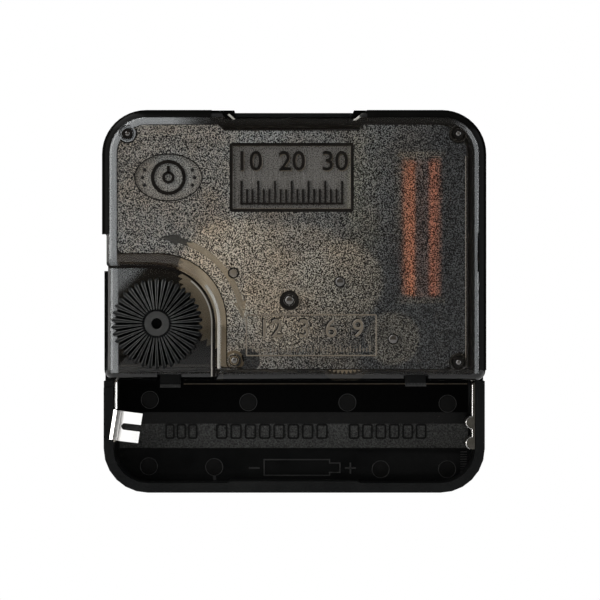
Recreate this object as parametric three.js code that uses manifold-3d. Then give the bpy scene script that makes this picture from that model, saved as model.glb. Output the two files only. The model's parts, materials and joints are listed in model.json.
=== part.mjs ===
// Quartz clock movement with a battery bay, in millimetres.
// The dial seat is the plane y = 0 and the spindle points to +Y, so the back faces -Y. Seen from
// the back, X runs to the right and Z up. A depth is measured from the dial seat to the back.
// The case is sized from what it holds: the train sets the depth and the place of the bay, the
// knob sets the left edge, and the coil sets the right and upper edges.
import * as THREE from 'three';
import { mergeVertices } from 'three/addons/utils/BufferGeometryUtils.js';
import Module from 'manifold-3d';

// Gaps
const clearance = 0.3;
const fit = 0.15;
const seatGap = 0.05;
const overrun = 1;

// Places of the wheels from the spindle
const thirdX = -8.1;
const thirdZ = 4;
const crownX = 7.34;
const crownZ = 2.69;
const idlerX = 8.13;
const idlerZ = -4.33;
const rotorX = 15.06;
const rotorZ = -5.61;
const knobX = -19.28;
const knobZ = -3.38;

// Tooth counts
const rotorTeeth = 8;
const idlerTeeth = 64;
const idlerLeaves = 8;
const crownTeeth = 60;
const crownLeaves = 8;
const secondsTeeth = 64;
const secondsLeaves = 8;
const thirdTeeth = 60;
const thirdLeaves = 8;
const minuteTeeth = 64;
const minuteLeaves = 12;
const motionTeeth = 36;
const motionLeaves = 10;
const hourTeeth = 40;
const knobTeeth = 28;

// Tooth forms, as shares of the module and of the tooth pitch
const addendumShare = 0.85;
const wheelDedendumShare = 1.55;
const wheelTipShare = 0.09;
const leafDedendumShare = 1.2;
const leafRootShare = 0.26;
const leafTipShare = 0.08;

// Case
const seatHeight = 0.6;
const seatRadius = 11;
const frontPlate = 1.3;
const frontRound = 0.7;
const frontBevelShare = 1 / 3;
const cornerRadius = 6.5;
const ledgeDepth = 5;
const rimDepth = 9.6;
const bayWall = 1.4;
const bayHeight = 15;
const towerWall = 1.2;
const partitionWall = 0.75;
const troughRadius = 7.4;
const troughFloor = 0.8;
const rimStep = 0.25;
const rimStepSlant = 0.8;
const rimStepLeft = -8.7;
const rimStepRight = 10;
const postRadius = 1.3;
const postPinRadius = 0.55;

// Margins round what the case holds
const knobMargin = 8.02;
const coilMargin = 9.45;
const boardMargin = 3.55;
const idlerMargin = 1.09;

// Wheels and the gaps between them, from the case's floor to the back
const floorGap = 0.8;
const hourThickness = 0.7;
const motionGap = 0.8;
const motionThickness = 0.8;
const minuteGap = 0.7;
const minuteThickness = 0.8;
const plateGap = 0.5;
const plateThickness = 1;
const idlerGap = 1.2;
const idlerThickness = 0.6;
const thirdStep = 0.3;
const thirdThickness = 0.8;
const secondsGap = 0.9;
const secondsThickness = 0.7;
const crownGap = 0.7;
const crownThickness = 0.6;
const leafOverlap = 0.2;
const minuteCollar = 0.25;
const collarGap = 0.1;

// Back cover
const skirtWall = 0.8;
const coverTop = 1.2;
const coverLowerRadius = 1.7;
const shoulderWidth = 2.3;
const shoulderDepth = 1.8;
const skirtDraft = 0.15;
const cavityStep = 0.8;
const wellDepth = 4;
const wellFloorWall = 0.8;
const wellRadius = 8.4;
const wellDraft = 0.15;
const wellRound = 1.5;
const panelStep = 0.12;
const panelLeftMargin = 2.3;
const panelRightMargin = 2.9;
const panelTopMargin = 2.2;
const panelBottomMargin = 1.85;
const panelRadius = 4.4;
const panelCorner = 1;
const panelWellMargin = 1.8;
const panelNotchDrop = 0.85;
const studIslandRadius = 1.45;
const plateRecess = 0.35;
const labelX = 0.35;
const labelDrop = 9.9;
const labelWidth = 18;
const labelHeight = 10;
const labelRadius = 0.5;
const ovalFromLeft = 9.74;
const ovalHalfWidth = 4.9;
const ovalHalfHeight = 3.4;
const pivotBossRadius = 1.4;
const pivotBossHeight = 0.9;
const pivotHoleDepth = 0.4;
const centreHoleRadius = 0.78;
const studRingRadius = 1.05;
const studRingDepth = 0.3;

// Latches, notches and grooves round the cover
const topNotchLeft = -9.4;
const topNotchRight = 10;
const topNotchDepth = 1.4;
const topNotchSlant = 1.1;
const topRibInset = 0.5;
const gripAboveKnob = 7.68;
const gripHeight = 5.25;
const gripDepth = 0.75;
const sideLatchTop = 9.85;
const sideLatchHeight = 5.7;
const sideLatchWidth = 1.4;
const sideLatchInset = 0.12;
const hookWidth = 3;
const hookReach = 0.45;
const hookThickness = 0.8;
const hookFromKnob = 1.68;
const hookFromCoil = 0.85;
const hookAboveLedge = 0.9;
const hookBelowTower = 1.1;

// Spindle, from the outside in
const bushRadius = 3.95;
const bushBore = 2.75;
const bushHeight = 5.5;
const bushFlangeRadius = 5.4;
const bushFlange = 0.5;
const threadPitch = 0.75;
const threadDepth = 0.42;
const hourTubeRadius = 2.5;
const hourTubeBore = 1.92;
const hourTubeHeight = 8;
const minuteTubeRadius = 1.75;
const minuteTubeBore = 0.66;
const minuteTubeHeight = 10.7;
const secondsPinRadius = 0.5;
const secondsPinHeight = 12.5;
const secondsPinRound = 0.15;
const washerRadius = 8.5;
const washerThickness = 1;
const nutAcrossFlats = 10;
const nutThickness = 1.8;
const nutChamfer = 0.35;
const nutSides = 6;

// Arbors and pivots
const pivotRadius = 0.3;
const pivotHoleRadius = 0.5;
const arborRadius = 0.6;
const slimArborRadius = 0.35;
const journalRadius = 1.38;
const motionStudRadius = 0.65;
const motionBore = 0.85;
const shaftRadius = 1.1;
const shaftPivotRadius = 0.8;
const shaftBossRadius = 1.9;
const shaftBossHeight = 1.6;
const plateBossRadius = 1;
const plateBossHeight = 0.8;

// Setting knob
const knobRadius = 6.7;
const knobThickness = 2.7;
const knobGap = 0.5;
const knobRidges = 36;
const knobHubRadius = 1.9;
const knobHoleRadius = 0.73;
const ridgeReach = 1.1;
const ridgeDrop = 1.2;
const ridgeRootDrop = 0.25;
const ridgeRootRadius = 2.3;
const ridgeNose = 0.5;

// Motor
const magnetRadius = 3;
const magnetThickness = 2.2;
const magnetBore = 1.2;
const rotorDiscRadius = 3.9;
const rotorDiscGap = 0.4;
const rotorDiscThickness = 0.6;
const rotorPinionRise = 0.3;
const rotorPinionOverlap = 0.1;
const rotorHubFlange = 1.6;
const rotorHubGap = 0.2;
const rotorHubThickness = 0.3;
const statorStep = 0.6;
const statorThickness = 0.8;
const statorHole = 3.5;
const statorSlot = 0.5;
const statorLegOut = 2.06;
const statorLegIn = 0.34;
const statorFoot = 2.3;
const statorFromCoil = 3.55;
const statorSide = 4.66;
const statorBase = 0.45;
const statorBodySide = 5.74;
const statorPadHeight = 3.2;
const statorPadGap = 0.9;
const coreWidth = 2.5;
const coreThickness = 0.8;
const coreInset = 0.2;

// Coil
const coilFromRotor = 4.19;
const coilAboveRotor = 5.81;
const coilLength = 20.8;
const coilRadius = 2.95;
const wireDiameter = 0.36;
const wireLoops = 24;
const wireStepsPerLoop = 8;
const wireSides = 5;
const wireTurnShare = 0.7;
const bobbinRadius = 1.75;
const bobbinFlange = 0.6;
const bobbinFlangeWidth = 6.8;
const bobbinBoreMargin = 0.15;

// Circuit board and what it carries
const boardThickness = 0.7;
const boardWidth = 13.9;
const boardHeight = 16.2;
const boardAboveCoil = 3.2;
const crystalRadius = 1;
const crystalLength = 4.6;
const crystalRise = 7.3;
const crystalLead = 0.7;
const chipWidth = 2.4;
const chipHeight = 3.3;
const chipThickness = 0.9;
const chipDrop = 2.8;
const chipFromPost = 2.4;
const chipShoulderShare = 0.85;
const chipCrownShare = 0.45;
const solderRadius = 0.7;
const solderHeight = 0.5;
const solderShoulderShare = 0.7;
const solderFromChip = 1.9;
const solderLowRise = 8.1;
const solderHighRise = 11.4;

// Pillars, posts and pegs, with their distances from what they stand by
const pillarRadius = 1.2;
const pillarPin = 0.5;
const pillarHole = 0.8;
const thirdPillarX = 0.6;
const thirdPillarZ = 5.6;
const crownPillarX = 4.16;
const crownPillarZ = 2.81;
const rotorPillarX = 6.34;
const edgePillarX = 2;
const edgePillarRise = 0.2;
const boardPostRadius = 1.3;
const boardPinRadius = 0.6;
const boardPostInset = 1.5;
const boardPostRise = 2.2;
const coilPostX = 0.75;
const coilPostRise = 4.5;
const statorPostInset = 1.2;
const statorPostDrop = 1.3;
const statorPostRadius = 0.8;
const statorPinRadius = 0.4;
const bodyPegInset = 1.9;
const bodyPegRise = 1.2;
const padPegInset = 1.1;
const cornerPostInset = 3.8;
const cornerPostDrop = 3.55;
const rightPostInset = 4.15;
const lowPostRise = 2.85;
const plateStudRadius = 0.9;
const plateStudPin = 0.45;
const plateStudX = 0.1;
const plateStudRise = 1.1;
const plateWindowX = 2.1;
const plateWindowRise = 0.4;
const plateWindowRadius = 1.2;

// Middle plate, with its edges' distances from the wheels
const plateBeyondThird = 2.5;
const plateAboveThird = 6.8;
const plateTopShort = 1.54;
const plateShoulderOut = 0.96;
const plateShoulderRise = 4.41;
const plateBeyondCrown = 5.86;
const plateLobeRise = 4.21;
const plateBeyondRotor = 7.94;
const plateBase = 0.35;
const plateCorner = 1;

// Battery contacts
const stripThickness = 0.3;
const stripDepth = 1.8;
const contactDrop = 2.55;
const bumpRadius = 0.82;
const bumpReach = 0.95;
const bumpSideShare = 0.8;
const bumpSpreadShare = 0.6;
const highBump = 1.35;
const lowBump = 1.65;
const tabInset = 1;
const tabHeight = 1.4;
const positiveTabRise = 1.2;
const negativeTop = 3.35;
const negativeBottom = 1.45;
const foldThickness = 0.25;
const foldReach = 0.6;
const leadFromRight = 8.3;
const leadRise = 1.8;
const leafLength = 4.6;
const leafWidth = 4.4;
const leafThickness = 0.25;
const leafSlot = 1;
const leafSlotStart = 1.5;
const leafSlotRoundShare = 0.49;
const leafTilt = THREE.MathUtils.degToRad(9);
const leafSlope = THREE.MathUtils.degToRad(38);

// Facets
const cornerSteps = 6;
const largeSides = 36;
const mediumSides = 20;
const smallSides = 10;
const shoulderSteps = 4;

// Colours of the pieces
const black = { color: 0x16181a, roughness: 0.55, metalness: 0 };
const smoke = { color: 0x2b2724, roughness: 0.3, metalness: 0, transparent: true, opacity: 0.6 };
const beige = { color: 0xb9a27c, roughness: 0.6, metalness: 0 };
const white = { color: 0xd9d6cc, roughness: 0.55, metalness: 0 };
const brass = { color: 0xb8924a, roughness: 0.3, metalness: 1 };
const steel = { color: 0xa9abad, roughness: 0.3, metalness: 1 };
const nickel = { color: 0xd0ccc2, roughness: 0.25, metalness: 1 };
const copper = { color: 0x8c4527, roughness: 0.4, metalness: 1 };
const magnetGrey = { color: 0x3a3a3c, roughness: 0.5, metalness: 0.6 };
const boardGreen = { color: 0x8f9a7c, roughness: 0.6, metalness: 0 };
const rubber = { color: 0x1b1b1b, roughness: 0.85, metalness: 0 };
const solderGrey = { color: 0xb5b1a4, roughness: 0.35, metalness: 1 };

// Running train, from the rotor to the seconds hand and on to the minute hand
const idlerLarge = meshed(gear(rotorX, rotorZ, rotorTeeth), idlerX, idlerZ, idlerTeeth);
const rotorPinion = fitted(gear(rotorX, rotorZ, rotorTeeth), idlerLarge);
const crownLarge = meshed(gear(idlerX, idlerZ, idlerLeaves), crownX, crownZ, crownTeeth);
const idlerPinion = fitted(gear(idlerX, idlerZ, idlerLeaves), crownLarge);
const secondsLarge = meshed(gear(crownX, crownZ, crownLeaves), 0, 0, secondsTeeth);
const crownPinion = fitted(gear(crownX, crownZ, crownLeaves), secondsLarge);
const thirdLarge = meshed(gear(0, 0, secondsLeaves), thirdX, thirdZ, thirdTeeth);
const secondsPinion = fitted(gear(0, 0, secondsLeaves), thirdLarge);
const minuteLarge = meshed(gear(thirdX, thirdZ, thirdLeaves), 0, 0, minuteTeeth);
const thirdPinion = fitted(gear(thirdX, thirdZ, thirdLeaves), minuteLarge);

// Setting train, from the knob to both hand tubes; one module serves both meshes on the line
const motionShare = (minuteLeaves + motionTeeth) / (minuteLeaves + 2 * motionTeeth + knobTeeth);
const motionX = knobX * motionShare;
const motionZ = knobZ * motionShare;
const motionLarge = meshed(gear(knobX, knobZ, knobTeeth), motionX, motionZ, motionTeeth);
const knobGear = fitted(gear(knobX, knobZ, knobTeeth), motionLarge);
const minutePinion = meshed(motionLarge, 0, 0, minuteLeaves);
const hourLarge = meshed(gear(motionX, motionZ, motionLeaves), 0, 0, hourTeeth);
const motionPinion = fitted(gear(motionX, motionZ, motionLeaves), hourLarge);

// Depths of the wheels, the motor and the cover
const floorDepth = seatHeight + frontPlate;
const hourFront = floorDepth + floorGap;
const motionFront = hourFront + hourThickness + motionGap;
const motionBack = motionFront + motionThickness;
const minuteFront = motionBack + minuteGap;
const minuteBack = minuteFront + minuteThickness;
const plateFront = minuteBack + plateGap;
const plateBack = plateFront + plateThickness;
const idlerFront = plateBack + idlerGap;
const idlerBack = idlerFront + idlerThickness;
const thirdFront = idlerFront + thirdStep;
const thirdBack = thirdFront + thirdThickness;
const secondsFront = thirdBack + secondsGap;
const secondsBack = secondsFront + secondsThickness;
const crownFront = secondsBack + crownGap;
const crownBack = crownFront + crownThickness;
const rotorPinionFront = idlerFront - rotorPinionRise;
const rotorPinionBack = idlerBack + rotorPinionOverlap;
const rotorHubFront = rotorPinionBack + rotorHubGap;
const magnetFront = rotorHubFront + rotorHubThickness;
const magnetBack = magnetFront + magnetThickness;
const rotorDiscFront = magnetBack + rotorDiscGap;
const rotorDiscBack = rotorDiscFront + rotorDiscThickness;
const statorFront = magnetFront + statorStep;
const statorBack = statorFront + statorThickness;
const coilDepth = statorFront - coreThickness / 2;
const boardBack = coilDepth - bobbinFlangeWidth / 2 - clearance;
const boardFront = boardBack - boardThickness;
const bossDepth = Math.max(rotorDiscBack, crownBack + 2 * leafOverlap) + clearance;
const coverInside = bossDepth + pivotBossHeight;
const bodyDepth = coverInside + coverTop;
const cavityStepDepth = bodyDepth - shoulderDepth - cavityStep;
const towerDepth = cavityStepDepth - clearance;
const latchDepth = coverInside - fit;
const wellFloorDepth = bodyDepth - wellDepth;
const wellInside = wellFloorDepth - wellFloorWall;
const wellRise = wellInside - shoulderDepth;
const knobBackDepth = wellFloorDepth + knobGap;
const knobFaceDepth = knobBackDepth + knobThickness;
const pivotEnd = coverInside + pivotHoleDepth - clearance;
const pillarTop = plateFront - seatGap;
const stripFront = floorDepth + clearance;
const stripBack = stripFront + stripDepth;
const contactBack = rimDepth - clearance;
const foldDepth = rimDepth + seatGap + foldThickness;

// Edges of the case, the bay and the cover
const coilX = rotorX + coilFromRotor;
const coilBottom = rotorZ + coilAboveRotor;
const coilTop = coilBottom + coilLength;
const boardTop = coilTop + boardAboveCoil;
const left = knobX - knobMargin;
const right = coilX + coilMargin;
const top = boardTop + boardMargin;
const bayTop = idlerZ - tipRadius(idlerLarge) - idlerMargin;
const bayBottom = bayTop - bayHeight;
const bottom = bayBottom - bayWall;
const bayCentreZ = bayTop - bayHeight / 2;
const bayLeft = left + bayWall;
const bayRight = right - bayWall;
const towerInset = skirtWall + fit;
const pocketInset = towerInset + towerWall;
const partitionTop = bayTop + towerInset + partitionWall;
const panelLeft = left + panelLeftMargin;
const panelRight = right - panelRightMargin;
const panelTop = top - panelTopMargin;
const panelBottom = bayTop + panelBottomMargin;
const labelZ = top - labelDrop;
const ovalX = left + ovalFromLeft;
const gripBottom = knobZ + gripAboveKnob;
const gripTop = gripBottom + gripHeight;

// Edges of the stator, the board and the middle plate
const statorLegLeft = rotorX - statorLegOut;
const statorLegRight = rotorX + statorLegIn;
const statorLeft = rotorX - statorSide;
const statorRight = coilX + statorFromCoil;
const statorBodyRight = rotorX + statorBodySide;
const statorBottom = partitionTop + statorBase;
const statorPadTop = coilBottom - statorPadGap;
const statorPadBottom = statorPadTop - statorPadHeight;
const boardRight = statorRight;
const boardLeft = boardRight - boardWidth;
const boardBottom = boardTop - boardHeight;
const crystalZ = boardBottom + crystalRise;
const leadX = boardRight - leadFromRight;
const chipZ = boardTop - chipDrop;
const plateLeft = thirdX - plateBeyondThird;
const plateTop = thirdZ + plateAboveThird;
const plateTopRight = crownX - plateTopShort;
const plateShoulderX = crownX + plateShoulderOut;
const plateShoulderZ = crownZ + plateShoulderRise;
const plateRight = crownX + plateBeyondCrown;
const plateLobeTop = rotorZ + plateLobeRise;
const plateLobeRight = rotorX + plateBeyondRotor;
const plateBottom = partitionTop + plateBase;

// Places of the pillars, posts, pegs and hooks
const innerPillars = [
  { x: thirdX + thirdPillarX, z: thirdZ + thirdPillarZ },
  { x: crownX + crownPillarX, z: crownZ + crownPillarZ },
  { x: rotorX + rotorPillarX, z: rotorZ },
];
const edgePillar = { x: edgePillarX, z: plateBottom + edgePillarRise };
const boardPosts = [
  { x: boardLeft + boardPostInset, z: boardBottom + boardPostRise },
  { x: coilX + coilPostX, z: boardBottom + coilPostRise },
];
const statorPost = { x: statorLegLeft + statorPostInset, z: boardTop - statorPostDrop };
const chipX = statorPost.x - chipFromPost;
const crystalX = chipX;
const statorPegs = [
  { x: statorBodyRight - bodyPegInset, z: statorBottom + bodyPegRise },
  { x: statorRight - padPegInset, z: statorPadTop - statorPadHeight / 2 },
];
const cornerPosts = [
  { x: left + cornerPostInset, z: top - cornerPostDrop },
  { x: right - rightPostInset, z: top - cornerPostDrop },
  { x: right - rightPostInset, z: bayTop + lowPostRise },
];
const plateStud = { x: thirdX + plateStudX, z: plateBottom + plateStudRise };
const plateWindow = { x: plateStud.x + plateWindowX, z: plateStud.z + plateWindowRise };
const hooks = [
  { x: knobX + hookFromKnob, depth: ledgeDepth + hookAboveLedge },
  { x: coilX - hookFromCoil, depth: towerDepth - hookBelowTower },
];

const wasm = await Module();
wasm.setup();

/** Turns a closed geometry into a solid that can be joined and cut. */
function toSolid(geometry) {
  const bare = geometry.clone();
  bare.deleteAttribute('normal');
  bare.deleteAttribute('uv');
  const merged = mergeVertices(bare);
  const position = merged.attributes.position;
  const index = merged.index.array;
  const corner = [new THREE.Vector3(), new THREE.Vector3(), new THREE.Vector3()];
  const kept = [];
  let volume = 0;
  for (let i = 0; i < index.length; i += 3) {
    const face = [index[i], index[i + 1], index[i + 2]];
    if (new Set(face).size === 3) {
      face.forEach((vertex, k) => corner[k].fromBufferAttribute(position, vertex));
      volume += corner[0].dot(corner[1].clone().cross(corner[2]));
      kept.push(face);
    }
  }
  const outward = volume > 0 ? kept : kept.map((face) => [face[0], face[2], face[1]]);
  return new wasm.Manifold(new wasm.Mesh({
    numProp: 3,
    vertProperties: Float32Array.from(position.array),
    triVerts: Uint32Array.from(outward.flat()),
  }));
}

/** Gives a solid back as a geometry. */
function toGeometry(solid) {
  const mesh = solid.getMesh();
  const geometry = new THREE.BufferGeometry();
  geometry.setAttribute('position', new THREE.BufferAttribute(mesh.vertProperties, mesh.numProp));
  geometry.setIndex(new THREE.BufferAttribute(mesh.triVerts, 1));
  geometry.computeVertexNormals();
  return geometry;
}

/** Joins solids into one. */
function join(...solids) {
  return solids.flat().reduce((sum, solid) => sum.add(solid));
}

/** Cuts tools out of a solid. */
function cut(solid, ...tools) {
  return tools.flat().reduce((rest, tool) => rest.subtract(tool), solid);
}

/** Points of an arc about a centre, both ends included. */
function arc(x, z, radius, from, to, steps) {
  return Array.from({ length: steps + 1 }, (_, i) => {
    const angle = from + (to - from) * (i / steps);
    return new THREE.Vector2(x + radius * Math.cos(angle), z + radius * Math.sin(angle));
  });
}

/** Points of a closed circle, starting at an angle. */
function circle(x, z, radius, sides = mediumSides, start = 0) {
  return arc(x, z, radius, start, start + 2 * Math.PI, sides).slice(0, sides);
}

/** Points of an upright ellipse. */
function ellipse(x, z, halfWidth, halfHeight, sides = mediumSides) {
  return circle(0, 0, 1, sides).map((point) => new THREE.Vector2(
    x + halfWidth * point.x,
    z + halfHeight * point.y,
  ));
}

/** Outline through corners, each given as { x, z, r } with r its rounding, 0 for a sharp one. */
function outline(corners, steps = cornerSteps) {
  return corners.flatMap((corner, i) => {
    const here = new THREE.Vector2(corner.x, corner.z);
    if (!corner.r) {
      return [here];
    }
    const before = corners[(i + corners.length - 1) % corners.length];
    const after = corners[(i + 1) % corners.length];
    const toBefore = new THREE.Vector2(before.x, before.z).sub(here).normalize();
    const toAfter = new THREE.Vector2(after.x, after.z).sub(here).normalize();
    const half = Math.acos(toBefore.dot(toAfter)) / 2;
    const middle = toBefore.clone().add(toAfter).normalize();
    const centre = here.clone().addScaledVector(middle, corner.r / Math.sin(half));
    const first = here.clone().addScaledVector(toBefore, corner.r / Math.tan(half)).sub(centre);
    const last = here.clone().addScaledVector(toAfter, corner.r / Math.tan(half)).sub(centre);
    const turn = Math.atan2(first.cross(last), first.dot(last));
    const start = first.angle();
    return arc(centre.x, centre.y, corner.r, start, start + turn, steps);
  });
}

/** Outline of an upright rectangle with one rounding above and one below. */
function frame(x0, z0, x1, z1, upper = 0, lower = upper, steps = cornerSteps) {
  return outline([
    { x: x0, z: z0, r: lower },
    { x: x1, z: z0, r: lower },
    { x: x1, z: z1, r: upper },
    { x: x0, z: z1, r: upper },
  ], steps);
}

/** Flat piece drawn in X and Z, from a front depth to a back depth. */
function slab(points, front, back, holes = []) {
  const shape = new THREE.Shape(points);
  shape.holes = holes.map((hole) => new THREE.Path(hole));
  const geometry = new THREE.ExtrudeGeometry(shape, { depth: back - front, bevelEnabled: false });
  geometry.rotateX(Math.PI / 2);
  geometry.translate(0, -front, 0);
  return toSolid(geometry);
}

/** Box between two corners, with depths for its front and back. */
function block(x0, x1, z0, z1, front, back) {
  const geometry = new THREE.BoxGeometry(x1 - x0, back - front, z1 - z0);
  geometry.translate((x0 + x1) / 2, -(front + back) / 2, (z0 + z1) / 2);
  return toSolid(geometry);
}

/** Straight round column along the depth. */
function column(x, z, radius, front, back, sides = smallSides) {
  return slab(circle(x, z, radius, sides), front, back);
}

/** Piece turned about the depth axis from points of { r, depth }. */
function turned(x, z, profile, sides = mediumSides) {
  const points = profile.map((point) => new THREE.Vector2(point.r, -point.depth));
  const geometry = new THREE.LatheGeometry(points, sides);
  geometry.translate(x, 0, z);
  return toSolid(geometry);
}

/** Closed skin over rings with equal counts of points, its first and last ring capped. */
function skin(rings) {
  const count = rings[0].length;
  const vertices = rings.flat().flatMap((point) => [point.x, point.y, point.z]);
  const faces = [];
  for (let ring = 0; ring + 1 < rings.length; ring += 1) {
    for (let i = 0; i < count; i += 1) {
      const a = ring * count + i;
      const b = ring * count + ((i + 1) % count);
      faces.push(a, b, b + count, a, b + count, a + count);
    }
  }
  const lastStart = (rings.length - 1) * count;
  for (let i = 1; i + 1 < count; i += 1) {
    faces.push(0, i + 1, i);
    faces.push(lastStart, lastStart + i, lastStart + i + 1);
  }
  const geometry = new THREE.BufferGeometry();
  geometry.setAttribute('position', new THREE.Float32BufferAttribute(vertices, 3));
  geometry.setIndex(faces);
  return toSolid(geometry);
}

/** Skin over outlines, each given as { depth, points }. */
function loft(levels) {
  return skin(levels.map((level) => level.points.map(
    (point) => new THREE.Vector3(point.x, -level.depth, point.y),
  )));
}

// Gear teeth

/** Gear with its centre, tooth count and the angle of one of its teeth. */
function gear(x, z, teeth, module = 1, phase = 0) {
  return { x, z, teeth, module, phase };
}

/** The module with which two counts of teeth mesh over a distance. */
function moduleFor(from, to, teeth, otherTeeth) {
  return 2 * Math.hypot(to.x - from.x, to.z - from.z) / (teeth + otherTeeth);
}

/** A gear that meshes with another, turned so that its gap meets the other's tooth. */
function meshed(other, x, z, teeth) {
  const module = moduleFor(other, { x, z }, other.teeth, teeth);
  const line = Math.atan2(z - other.z, x - other.x);
  const along = (line - other.phase) * other.teeth / (2 * Math.PI);
  const pitch = 2 * Math.PI / teeth;
  const phase = line + Math.PI + along * pitch - pitch / 2;
  return gear(x, z, teeth, module, phase);
}

/** The same gear with the module that another gear needs of it. */
function fitted(wheel, other) {
  return gear(wheel.x, wheel.z, wheel.teeth, other.module, wheel.phase);
}

/** Outline of a wheel whose teeth have two tip points and share a root point. */
function wheelOutline(wheel) {
  const pitchRadius = wheel.module * wheel.teeth / 2;
  const tip = pitchRadius + wheel.module * addendumShare;
  const root = pitchRadius - wheel.module * wheelDedendumShare;
  const pitch = 2 * Math.PI / wheel.teeth;
  return Array.from({ length: wheel.teeth }, (_, i) => {
    const middle = wheel.phase + i * pitch;
    return [
      polar(wheel, tip, middle - pitch * wheelTipShare),
      polar(wheel, tip, middle + pitch * wheelTipShare),
      polar(wheel, root, middle + pitch / 2),
    ];
  }).flat();
}

/** Outline of a pinion whose leaves have two tip and two root points. */
function pinionOutline(wheel) {
  const pitchRadius = wheel.module * wheel.teeth / 2;
  const tip = pitchRadius + wheel.module * addendumShare;
  const root = pitchRadius - wheel.module * leafDedendumShare;
  const pitch = 2 * Math.PI / wheel.teeth;
  return Array.from({ length: wheel.teeth }, (_, i) => {
    const middle = wheel.phase + i * pitch;
    return [
      polar(wheel, root, middle - pitch * leafRootShare),
      polar(wheel, tip, middle - pitch * leafTipShare),
      polar(wheel, tip, middle + pitch * leafTipShare),
      polar(wheel, root, middle + pitch * leafRootShare),
    ];
  }).flat();
}

/** Point at a radius and an angle about a gear's centre. */
function polar(wheel, radius, angle) {
  return new THREE.Vector2(wheel.x + radius * Math.cos(angle), wheel.z + radius * Math.sin(angle));
}

/** Outer radius of a gear. */
function tipRadius(wheel) {
  return wheel.module * (wheel.teeth / 2 + addendumShare);
}

// Movement as one group of named meshes
const movement = new THREE.Group();

/** Adds a piece to the movement. */
function place(name, solid, look) {
  const mesh = new THREE.Mesh(toGeometry(solid), new THREE.MeshStandardMaterial(look));
  mesh.name = name;
  movement.add(mesh);
}

/** Rounded outline of the whole back, drawn in from its edge. */
function bodyOutline(inset) {
  return frame(left + inset, bottom + inset, right - inset, top - inset, cornerRadius - inset);
}

/** Rounded outline of the cover, drawn in from its edge. */
function coverOutline(inset, lower = Math.max(coverLowerRadius - inset, fit)) {
  return frame(left + inset, bayTop + inset, right - inset, top - inset, cornerRadius - inset, lower);
}

/** Outline of the knob's well, grown by a margin and open to the left and below. */
function wellOutline(margin) {
  const reach = wellRadius + margin;
  return outline([
    { x: left - overrun, z: bayTop - overrun, r: 0 },
    { x: knobX + reach, z: bayTop - overrun, r: 0 },
    { x: knobX + reach, z: knobZ + reach, r: reach },
    { x: left - overrun, z: knobZ + reach, r: 0 },
  ], cornerSteps);
}

/** Groove for the fingers in the left edge, through case and cover. */
function gripGroove() {
  const floor = left + gripDepth;
  return slab(outline([
    { x: left - overrun, z: gripBottom, r: 0 },
    { x: floor, z: gripBottom, r: 0 },
    { x: floor, z: gripTop, r: gripDepth / 2 },
    { x: left - overrun, z: gripTop + gripDepth, r: 0 },
  ], cornerSteps / 2), -overrun, bodyDepth + overrun);
}

/** Room that the strips of both contacts need in the case. */
function stripRoom() {
  const negativeX = bayLeft + stripThickness;
  const wallZ = partitionTop + clearance;
  return [
    block(bayLeft, negativeX + clearance, bayTop - overrun, wallZ + clearance,
      stripFront - clearance, stripBack + clearance),
    block(bayRight - stripThickness - clearance, bayRight, bayTop - overrun,
      partitionTop + overrun, stripFront - clearance, stripBack + clearance),
    block(bayLeft, leadX + stripThickness + clearance, wallZ - clearance,
      wallZ + stripThickness + clearance, stripFront - clearance, stripBack + clearance),
  ];
}

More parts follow.
